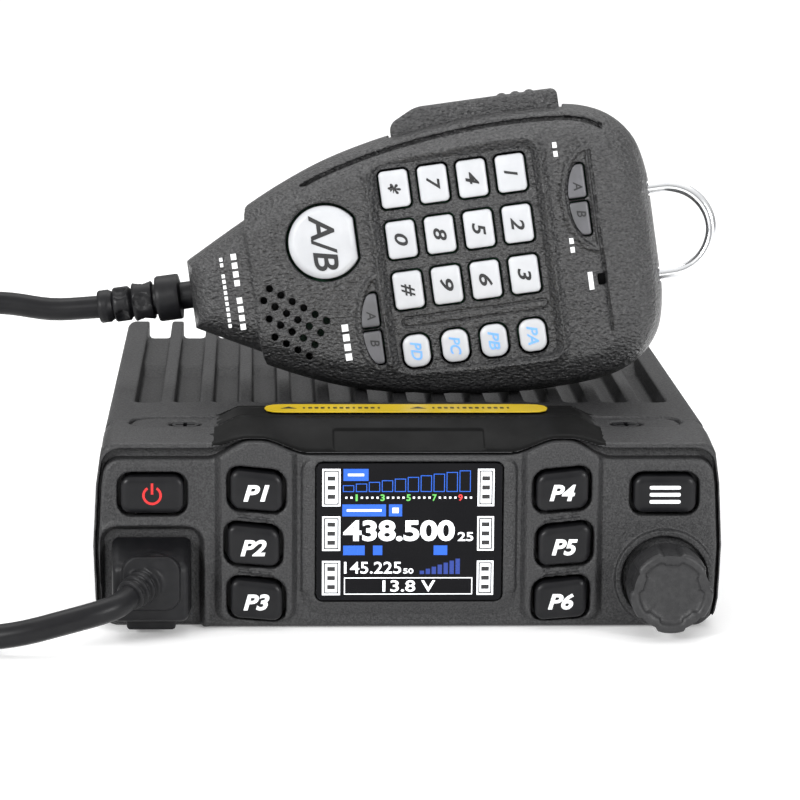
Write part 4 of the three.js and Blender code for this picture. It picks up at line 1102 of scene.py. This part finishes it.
def add_front_legends():
    lift = 0.03
    for name, x0, x1, z0, z1, skew, front in wells():
        place = on_front((x0 + x1) / 2, front - lift, (z0 + z1) / 2 - skew / 3)
        if name == "power_key":
            ring = arc_band(1.75, 0.5, 32, 328)
            stem = bar(-0.25, 0.2, 0.25, 2.5)
            marks("power_symbol", [*ring, stem], place, "red_ink", name, "smooth_black")
        elif name == "menu_key":
            lines = [bar(-3.2, y, 3.2, y + 0.75, 0.3) for y in (1.1, -0.37, -1.85)]
            marks("menu_symbol", lines, place, "white_ink", name, "white_plastic")
        else:
            lettering(f"{name}_legend", f"P{name[-1]}", 3.4, place, "white_ink", name, "white_plastic",
                      width=5.3,
                      slant=0.25, weight=0.035)


def add_screen():
    """What the display shows: made-up numbers, empty badges and level bars."""
    low, _ = radio_box("display_lens")
    y = low[1] - 0.02
    origin = on_front(0, y, 0)

    def show(name, outlines, material):
        marks(name, outlines, origin, material, "radio", "display_glass", depth=0.02)

    def write(name, text, x0, x1, z0, z1, material, weight=0.02):
        place = on_front((x0 + x1) / 2, y, (z0 + z1) / 2)
        lettering(name, text, z1 - z0, place, material, "radio", "display_glass", width=x1 - x0,
                  weight=weight, depth=0.02)

    rows = ((26.0, 33.8), (16.7, 23.9), (7.4, 14.6))
    badges, holes = [], []
    for z0, z1 in rows:
        for x0, x1 in ((-17.8, -14.1), (13.9, 17.3)):
            badges.append(bar(x0, z0, x1, z1))
            middle = (x0 + x1) / 2
            holes += box_lines(x0 + 0.35, z0 + 0.35, x1 - 0.35, z1 - 0.35, 0.25)
            for step in (-1.9, 0.0, 1.9):
                holes.append(bar(middle - 0.8, (z0 + z1) / 2 + step - 0.45, middle + 0.8,
                                 (z0 + z1) / 2 + step + 0.45))
    show("screen_badges", badges, "screen_white")
    place = on_front(0, y - 0.03, 0)
    marks("screen_badge_marks", holes, place, "black_ink", "radio", "display_glass", depth=0.01)
    blues = [bar(-13.5, 31.3, -8.4, 33.8), bar(-13.7, 23.9, -4.8, 26.4), bar(-4.2, 23.9, -1.5, 26.4),
             bar(-13.5, 15.8, -9.1, 17.8), bar(-7.4, 15.8, -5.5, 17.8), bar(5.0, 15.8, 7.8, 17.8)]
    show("screen_blue_badges", blues, "screen_blue")
    whites = [bar(-12.6, 32.3, -9.3, 32.8), bar(-12.8, 24.9, -5.7, 25.4), bar(-3.5, 24.6, -2.2, 25.7)]
    marks("screen_blue_badge_marks", whites, place, "screen_white", "radio", "display_glass", depth=0.01)
    levels = []
    for i in range(10):
        x0 = -13.6 + i * 2.64
        levels += box_lines(x0, 29.0, x0 + 2.3, 29.0 + 1.4 + 0.34 * i, 0.16)
    show("screen_level_bars", levels, "screen_blue")
    dots = []
    for i in range(25):
        x = -12.9 + i * 1.06
        if (i - 2) % 5:
            dots.append(bar(x - 0.22, 27.6, x + 0.22, 28.0))
    show("screen_scale_dots", dots, "screen_white")
    for i, digit in enumerate("13579"):
        x = -10.8 + i * 5.3
        half = 0.22 if digit == "1" else 0.45
        write(f"screen_scale_{digit}", digit, x - half, x + half, 27.1, 28.5,
              "screen_red" if digit == "9" else "screen_green", 0.03)
    write("screen_frequency", "438.500", -13.5, 9.3, 18.7, 23.1, "screen_white", 0.035)
    write("screen_frequency_small", "25", 9.9, 13.1, 18.7, 20.6, "screen_white")
    write("screen_second_frequency", "145.225", -13.3, -1.6, 11.9, 14.4, "screen_white", 0.012)
    write("screen_second_small", "50", -1.2, 0.9, 11.9, 13.0, "screen_white")
    small = [bar(2.2 + i * 1.22, 11.8, 3.1 + i * 1.22, 12.5 + 0.42 * i) for i in range(7)]
    show("screen_second_bars", small, "screen_navy")
    show("screen_voltage_box", box_lines(-13.3, 7.5, 13.0, 11.1, 0.2), "screen_white")
    write("screen_voltage", "13.8 V", -5.4, 5.4, 8.1, 10.5, "screen_white", 0.015)


# ---------------------------------------------------------------- microphone shells
MIC_HALF_WIDTHS = [
    (-67, 8.9), (-58.5, 13.4), (-50.3, 17.6), (-42.7, 21.2), (-33.7, 24.7), (-25.8, 26.9), (-15, 29),
    (0, 30.6),
    (12, 30.8), (24.5, 29.6), (31.2, 26.4), (35.6, 21), (37.5, 13),
]
MIC_TAIL_STEP_U = -50.0
TAIL_INSET = 2.3
TAIL_DROP, TAIL_SLOPE = 0.55, 0.10
MIC_SEAM_U = 25.45
SWAP_U, SWAP_V = -33.2, 7.5
PTT_LOW_U, PTT_HIGH_U, PTT_LOW_V, PTT_HIGH_V = -16.5, 20.5, 24.0, 33.8
MOON_PAIRS = (("main", -24.8, -12.4), ("side", 22.8, 9.1))


def mic_outline():
    """The microphone's outline, upper side then lower side, as a smooth run of points."""
    upper = [(37.6, 0.0), (37.6, 8.0)] + [tuple(point) for point in MIC_HALF_WIDTHS[::-1]]
    path = smooth_route([(u, 0, v) for u, v in upper], 1.6)[:, (0, 2)]
    return np.concatenate([path, (path * (1, -1))[::-1][:-1]])


def moon_outline(middle_u, middle_v, side, margin):
    """A half-moon key: round towards the cord, straight towards the hanger ring, cut across the middle."""
    flat_u = middle_u + 1.0 + margin
    reach_u, reach_v = 3.9 + margin, 8.5 + margin
    near = 0.5 - margin
    far = 7.6 + margin
    outline = [(flat_u, side * near)]
    for v in np.linspace(near, far, 12):
        outline.append((flat_u - reach_u * math.sqrt(max(0.0, 1 - (v / reach_v) ** 2)), side * v))
    outline.append((flat_u, side * far))
    outline = np.array(outline[::side]) + (0, middle_v)
    return rounded_outline(outline[[0, 1]].tolist() + outline[2:].tolist(), 0.5 + max(0, margin), 2)


def standing_clearance(block):
    """Height above the heatsink's rib tops, which the shells are cut flat to."""
    return mic_origin.z / MM + block.x * mic_u.z + block.y * mic_y.z + block.z * mic_v.z - (BODY_HEIGHT + 0.3)


def ptt_outline(margin):
    corners = [(PTT_LOW_U - margin, PTT_LOW_V - margin), (PTT_HIGH_U + margin, PTT_LOW_V - margin),
               (PTT_HIGH_U + margin, PTT_HIGH_V + margin), (PTT_LOW_U + 6 - margin, PTT_HIGH_V + margin),
               (PTT_LOW_U - margin, PTT_HIGH_V - 3 + margin)]
    return rounded_outline(corners, 1.5, 4)


def shell_openings(block, shell):
    """Cuts the hanger slots, the neck and the bar's pocket out of a shell."""
    u, y, v = block.x, block.y, block.z
    slots = np.maximum(slab(np.abs(v), 9.4 - 1.5, 9.4 + 1.5), np.maximum(slab(y, -4.8, 4.8), 33.1 - u))
    shell = carve(shell, slots, 0.2)
    shell = carve(shell, np.maximum(np.hypot(y, v) - 3.3, u + 58), 0.2)
    pocket = polygon(u, v, ptt_outline(0.6))
    sweep = rectangle(u, v, 2.0, PTT_LOW_V, 38.2, 4.4, 0.5)
    return carve(shell, np.maximum(np.minimum(pocket, sweep), slab(y, -6.0, 6.0)), 0.3)


def front_inset(y):
    """How far the outline is drawn in at each depth of the front shell."""
    return np.interp(-y, [0, 5.5, 9.5, 11.0, 14.4], [0, 0.5, 1.7, 2.7, 6.4]).astype(np.float32)


def front_shell_field(block):
    u, y, v = block.x, block.y, block.z
    outline = polygon(u, v, mic_outline())
    rim = rectangle(u, v, -3.8, -0.2, 36.8, 47.4, 3.4)
    side_bay = np.maximum(ellipse(u, v, 25.8, 9.1, 7.0, 11.0), u - MIC_SEAM_U + 0.3)
    main_bay = ellipse(u, v, -22.2, -12.4, 6.0, 11.4)
    tail = ease((MIC_TAIL_STEP_U - u) / 0.35)
    slope = np.maximum(MIC_TAIL_STEP_U - u, 0) * TAIL_SLOPE
    head = ease((u - MIC_SEAM_U) / 0.3)
    bays = 0.75 * ease(1 - side_bay / 1.3) - 1.2 * ease(-side_bay / 0.9 - 0.2)
    bays = bays + (0.75 * ease(1 - main_bay / 1.3) - 1.2 * ease(-main_bay / 0.9 - 0.2)) * (rim > 1.2)
    proud = 1.25 * np.clip(1.25 - rim / 1.5, 0, 1) - 2.3 * np.clip(0.2 - rim / 1.9, 0, 1)
    proud = np.where(rim > 0.6, np.maximum(proud, bays), proud)
    proud = proud - TAIL_DROP * tail - slope + 0.25 * head - 0.09 * np.maximum(u - MIC_SEAM_U, 0)
    lip = np.maximum(np.abs(u - MIC_SEAM_U) - 0.25, np.abs(v) - 19.5)
    proud = proud - 0.7 * ease(0.7 - lip / 0.3)
    divider = rectangle(u, v, -3.2, -12.0, 31.5, 1.9, 0.9)
    proud = proud - 0.5 * ease(1 - np.abs(divider) / 0.38)
    step = ease(1 - np.abs(u - MIC_TAIL_STEP_U) / 0.45)
    proud = proud - 0.5 * step

    body = outline + front_inset(y) + TAIL_INSET * tail
    body = meet(body, MIC_FACE_Y - proud - y, 1.0)
    body = np.maximum(body, y + 0.15)
    beside_bar = np.maximum(20 - v, slab(u, -37, 29))
    step_back = np.maximum(-3.6 - outline, y + 10.4)
    groove = np.maximum(np.abs(outline + 3.3) - 0.45, y + 8.8)
    body = carve(body, np.maximum(np.minimum(step_back, groove), beside_bar), 0.25)
    shell = np.maximum(body, -np.maximum(body + MIC_WALL, -0.5 - y - 11.3))
    hanger_block = np.maximum(slab(u, 32.0, 36.7), np.maximum(slab(y, -6, -0.15), np.abs(v) - 8.4))
    shell = np.minimum(shell, hanger_block)
    shell = carve(shell, standing_clearance(block), 0.3)
    shell = shell_openings(block, shell)

    through = y + 9.5
    for name in mic_pad_names():
        low, high = local_box(name)
        width, height = high[0] - low[0], high[2] - low[2]
        radius = 1.4 if width > 6 else 2.4
        well = rectangle(u, v, (low[0] + high[0]) / 2, (low[2] + high[2]) / 2, width + 0.9, height + 0.9,
                         radius)
        shell = carve(shell, np.maximum(well, through), 0.25)
    big = np.maximum(circle(u, v, SWAP_U, SWAP_V, 8.5), u - SWAP_U - 7.2)
    shell = carve(shell, np.maximum(big, through), 0.5)
    for _, middle_u, middle_v in MOON_PAIRS:
        for side in (-1, 1):
            well = polygon(u, v, moon_outline(middle_u, middle_v, side, 0.4))
            shell = carve(shell, np.maximum(well, through), 0.2)
    holes = np.full(np.broadcast_shapes(u.shape, v.shape), 9.0, np.float32)
    for row, first in enumerate((0, 0, 1, 2)):
        for column in range(first, 6):
            hole_u, hole_v = -46.4 + column * 2.25 - row * 1.6, -0.8 - column * 1.7 - row * 2.36
            holes = np.minimum(holes, circle(u, v, hole_u, hole_v, 0.78))
    holes = np.minimum(holes, rectangle(u, v, 24.6, -8.3, 1.7, 2.4, 0.3))
    return carve(shell, np.maximum(holes, through), 0.12)


def back_shell_field(block):
    u, y, v = block.x, block.y, block.z
    outline = polygon(u, v, mic_outline())
    inset = np.interp(y, [0, 7, 12.0, 16.0], [0, 0.8, 3.4, 9.0]).astype(np.float32)
    tail = ease((MIC_TAIL_STEP_U - u) / 0.35)
    slope = np.maximum(-30 - u, 0) * 0.11
    body = outline + inset + TAIL_INSET * tail
    panel = rectangle(u, v, -2, 0, 58, 34, 6)
    dent = 0.5 * ease(1 - np.abs(panel) / 0.7)
    ribs = 0.45 * ease(1 - np.abs(np.mod(v + 1.5, 3.0) - 1.5) / 0.8) * ease(0.5 - rectangle(u, v, -30, 0,
        18, 24, 2) / 0.6)
    body = meet(body, y - (MIC_BACK_Y - slope - dent - ribs), 1.2)
    body = np.maximum(body, 0.15 - y)
    shell = np.maximum(body, -np.maximum(body + MIC_WALL, y - (MIC_BACK_Y - MIC_WALL)))
    hanger_block = np.maximum(slab(u, 32.0, 36.7), np.maximum(slab(y, 0.15, 6), np.abs(v) - 8.4))
    shell = np.minimum(shell, hanger_block)
    shell = carve(shell, standing_clearance(block), 0.3)
    shell = shell_openings(block, shell)
    screws = np.minimum(
        circle(np.abs(u - 2), np.abs(v), 25, 21, 2.3), circle(u, v, -52, 0, 2.3),
    )
    shell = carve(shell, np.maximum(screws, 12.2 - y), 0.3)
    return carve(shell, np.maximum(circle(u, v, 0, 0, 2.3), 5 - y), 0.3)


def add_mic_shells():
    block = Block((-68.0, -15.6, -32.2), (38.6, 0.5, 32.2), (0.25, 0.25, 0.25))
    points, faces = block.surface(front_shell_field(block))
    add_piece("microphone_front", points, faces, "leather", "microphone", "black_plastic",
              replaces=("mic_front_shell",), place=MIC)
    block = Block((-68.0, -0.5, -32.2), (38.6, 17.0, 32.2), (0.3, 0.3, 0.3))
    points, faces = block.surface(back_shell_field(block))
    add_piece("microphone_back", points, faces, "leather", "microphone", "black_plastic",
              replaces=("mic_back_shell",), place=MIC)


# ---------------------------------------------------------------- microphone keys and fittings
def mic_pad_names():
    return [f"mic_key_{label}" for label in ("star", *"741", *"0852", "hash", *"963", *"dcba")]


LEGENDS = {"star": "*", "hash": "#", "a": "PA", "b": "PB", "c": "PC", "d": "PD"}
NARROW = {"1": 1.3, "star": 2.4}
MIC_KEY_BACK_Y = -10.4


def on_mic(u, y, v, right=(0, 0, -1), up=(1, 0, 0)):
    """A frame on the keypad side: legends read with their tops towards the hanger ring."""
    return MIC @ frame_at((u, y, v), right, up)


def add_mic_keys():
    for name in mic_pad_names():
        label = name.rsplit("_", 1)[1]
        letter = label in "dcba"
        low, high = local_box(name)
        u, v = (low[0] + high[0]) / 2, (low[2] + high[2]) / 2
        width, height = high[0] - low[0], high[2] - low[2]
        round_off = 2.1 if letter else 1.0

        def outline_at(margin):
            corners = rectangle_corners(u, v, width + 2 * margin, height + 2 * margin)
            return rounded_outline(corners, max(0.3, round_off + margin))
        front = low[1]
        points, faces = skin(cap_rings(outline_at, front, MIC_KEY_BACK_Y, edge=0.5, crown=0.18))
        add_piece(f"{name}_cap", points, faces, "white", name, "white_plastic", replaces=(name,),
                  place=MIC, crease=40)
        ink, tall, wide = ("pale_blue_ink", 2.3, 4.0) if letter else ("black_ink", 2.8,
                                                                      NARROW.get(label, 2.8))
        text = LEGENDS.get(label, label)
        lettering(f"{name}_legend", text, tall, on_mic(u, front - 0.03, v), ink, name, "smooth_black",
                  width=wide,
                  slant=0.25, weight=0.02)


def add_swap_key():
    """The big round key with one flat side."""
    low, _ = local_box("mic_swap_key")
    front = low[1]

    def outline_at(margin):
        radius = 7.9 + margin
        cut = math.acos((6.6 + margin) / radius)
        angles = np.linspace(cut, 2 * math.pi - cut, 61)
        arc = np.stack([SWAP_U + radius * np.cos(angles), SWAP_V + radius * np.sin(angles)], axis=1)
        return arc
    rings = [at_y(outline_at(margin), front + depth) for margin,
             depth in ((-5.5, 0), (-4.0, 0.03), (-2.6, 0.1))]
    rings += cap_rings(outline_at, front, MIC_KEY_BACK_Y, edge=0.7, crown=0.45)[1:]
    add_piece("mic_swap_key_cap", *skin(rings), "white", "mic_swap_key", "white_plastic",
              replaces=("mic_swap_key",), place=MIC, crease=50)
    lettering("mic_swap_key_legend", "A/B", 5.3, on_mic(SWAP_U - 0.2, front - 0.03, SWAP_V), "black_ink",
              "mic_swap_key",
              "smooth_black", width=12.2, slant=0.2, weight=0.015)


def add_moon_keys():
    for pair, middle_u, middle_v in MOON_PAIRS:
        for side, level, letter in ((1, "upper", "A"), (-1, "lower", "B")):
            name = f"mic_{pair}_key_{level}"
            low, _ = local_box(name)
            front = low[1]

            def outline_at(margin):
                return moon_outline(middle_u, middle_v, side, margin)
            rings = [at_y(outline_at(-0.7), front), at_y(outline_at(-0.25), front + 0.08),
                     at_y(outline_at(-0.08), front + 0.2), at_y(outline_at(0), front + 0.4),
                     at_y(outline_at(0), MIC_KEY_BACK_Y)]
            add_piece(f"{name}_cap", *skin(rings), "grey", name, "grey_plastic", replaces=(name,),
                      place=MIC, crease=35)
            spot = on_mic(middle_u - 0.6, front - 0.03, middle_v + side * 3.0)
            lettering(f"{name}_legend", letter, 1.9, spot, "black_ink", name, "smooth_black", slant=0.2,
                      weight=0.01)


def add_mic_marks():
    """Plain marks in white: beside the key pairs, at the microphone hole and on the tail."""
    y = MIC_FACE_Y - 0.03
    dashes = [bar(-4.0 + i * 2.1, -0.7, -2.5 + i * 2.1, 0.7) for i in range(4)]
    marks("mic_main_marks", dashes, on_mic(-31.4, y, -14.6), "white_ink", "microphone", "white_plastic")
    large = [bar(-8.2 + i * 1.9, -0.6, -6.9 + i * 1.9, 0.6) for i in range(9) if i != 4]
    small = [bar(-7.7 + i * 1.2, -0.35, -6.9 + i * 1.2, 0.35) for i in range(13) if i != 2]
    for name, rows, row_u in (("mic_tail_marks_large", large, -53.2), ("mic_tail_marks_small", small, -56.0)):
        level = MIC_FACE_Y + TAIL_DROP + TAIL_SLOPE * (MIC_TAIL_STEP_U - row_u) - 0.05
        marks(name, rows, on_mic(row_u, level, -0.5, up=(1, -TAIL_SLOPE, 0)), "white_ink", "microphone",
              "white_plastic")
    short = [bar(-1.6, -0.45, -0.4, 0.45), bar(0.3, -0.45, 1.5, 0.45)]
    marks("mic_side_marks_upper", short, on_mic(18.4, y, 20.4), "white_ink", "microphone", "white_plastic")
    marks("mic_side_marks_lower", short, on_mic(19.3, y, -0.4), "white_ink", "microphone", "white_plastic")
    marks("mic_hole_mark", [bar(-1.9, -0.5, 1.9, 0.5)], on_mic(22.3, y, -8.4), "white_ink", "microphone",
          "white_plastic")


def ptt_field(block):
    u, y, v = block.x, block.y, block.z
    bar_body = meet(polygon(u, v, ptt_outline(0)), np.abs(y) - 5.5, 1.0)
    for rib_u in (8.4, 11.4, 14.4):
        rib = np.sqrt(((u - rib_u) / 1.05) ** 2 + (y / 3.6) ** 2 + ((v - PTT_HIGH_V + 0.2) / 0.75) ** 2) - 1
        bar_body = join(bar_body, rib * 0.7, 0.25)
    panel = rectangle(u, y, 1.0, 0, 31.0, 7.6, 1.5)
    trim = np.maximum(np.abs(panel) - 0.2, PTT_HIGH_V - 0.35 - v)
    return carve(bar_body, trim, 0.15)


def add_ptt_bar():
    block = Block((-17.5, -6.3, 23.2), (21.5, 6.3, 35.2), (0.22, 0.22, 0.22))
    points, faces = block.surface(ptt_field(block))
    add_piece("talk_bar", points, faces, "leather", "ptt_bar", "black_plastic", replaces=("ptt_bar",),
              place=MIC)


def add_strain_relief():
    """The sleeve out of the shells, its ribbed tail with oval notches, and the flange at its end."""
    start, end = -67.3, -85.3
    profile = [(3.0, start + 6), (3.0, start + 0.4), (4.9, start), (5.0, start - 0.3), (5.0, start - 4.6),
               (4.8, start - 5.0), (3.4, start - 5.2)]
    segments = ((start - 5.9, start - 10.3, 4.25), (start - 11.1, start - 14.6, 3.8),
                (start - 15.4, end, 3.6))
    for high, low, radius in segments:
        profile += [(3.3, high + 0.15), (radius - 0.25, high), (radius, high - 0.3), (radius, low + 0.3),
                    (radius - 0.25, low), (3.0 if low > end else 2.7, low - (0.15 if low > end else 0))]
    smooth = []
    for (r0, u0), (r1, u1) in zip(profile, profile[1:]):
        pieces = max(1, int(abs(u1 - u0) / 0.6))
        smooth += [(r0 + (r1 - r0) * i / pieces, u0 + (u1 - u0) * i / pieces) for i in range(pieces)]
    smooth.append(profile[-1])

    def notches(angles, along):
        cut = 0.0
        for i, (high, low, _) in enumerate(segments[:2]):
            middle, half = (high + low) / 2, (high - low) / 2 - 0.7
            turn = i * math.pi / 4
            away = np.abs((angles - turn + math.pi / 4) % (math.pi / 2) - math.pi / 4)
            inside = 1 - np.hypot(away / 0.42, (along - middle) / half)
            cut = cut + ease(inside / 0.25 + 0.5)
        return 1 - 0.17 * np.clip(cut, 0, 1)
    points, faces = turned(smooth, (0, 0, 0), (1, 0, 0), (0, 0, 1), 72, notches)
    add_piece("cord_relief", points, faces, "rubber", "microphone", "black_rubber",
              replaces=("mic_strain_relief",), place=MIC, crease=50)


def add_hanger_ring():
    """The bright wire loop with its two pins."""
    arc_u = 37.5 + 13.5 - 9.4 - 1.2
    arc = [(arc_u + 9.4 * math.cos(a), 0, 9.4 * math.sin(a)) for a in np.linspace(math.pi / 2,
                                                                                  -math.pi / 2, 41)]
    path = smooth_route([(RING_AXIS_U, 0, 9.4), (RING_AXIS_U + 2, 0, 9.4), *arc, (RING_AXIS_U + 2, 0, -9.4),
                         (RING_AXIS_U, 0, -9.4)], 0.8)
    parts = [tube(path, 1.2, 20)]
    for side in (-1, 1):
        parts.append(tube(np.array([(RING_AXIS_U, 0, side * v) for v in (4.0, 4.3, 9.0, 9.4)]), 1.0, 16))
    add_piece("hanger_loop", *merged(parts), "chrome", "hanger_ring", "steel_bright",
              replaces=("hanger_ring",),
              place=MIC, crease=50)


def add_hang_button():
    """The turned button on the microphone's back that slots into a dashboard clip."""
    back = MIC_BACK_Y + 0.3
    profile = [(0.3, back - 5), (3.4, back - 5), (3.5, back - 4.9), (3.5, back - 3), (2, back - 3), (2, back),
               (3.0, back), (3.2, back + 0.15), (3.2, back + 1.3), (3.5, back + 1.55), (5.7, back + 2.0),
               (6.0, back + 2.3), (6.0, back + 3.1), (5.8, back + 3.4), (5.2, back + 3.85), (4.6, back + 4.0),
               (2.6, back + 3.9), (2.3, back + 3.5), (0.3, back + 3.4)]
    add_piece("clip_button", *turned(profile, (0, 0, 0), (0, 1, 0), (0, 0, 1), 64), "steel", "microphone",
              "steel_dull", replaces=("hang_button",), place=MIC, crease=30)


# ---------------------------------------------------------------- all of it
add_camera()
add_studio()
dress_cad_nodes()
add_cord(add_plug())
add_front_panel()
add_front_keys()
add_knob()
add_casting()
add_label()
add_rear_fittings()
add_front_legends()
add_screen()
add_mic_shells()
add_mic_keys()
add_swap_key()
add_moon_keys()
add_mic_marks()
add_ptt_bar()
add_strain_relief()
add_hanger_ring()
add_hang_button()
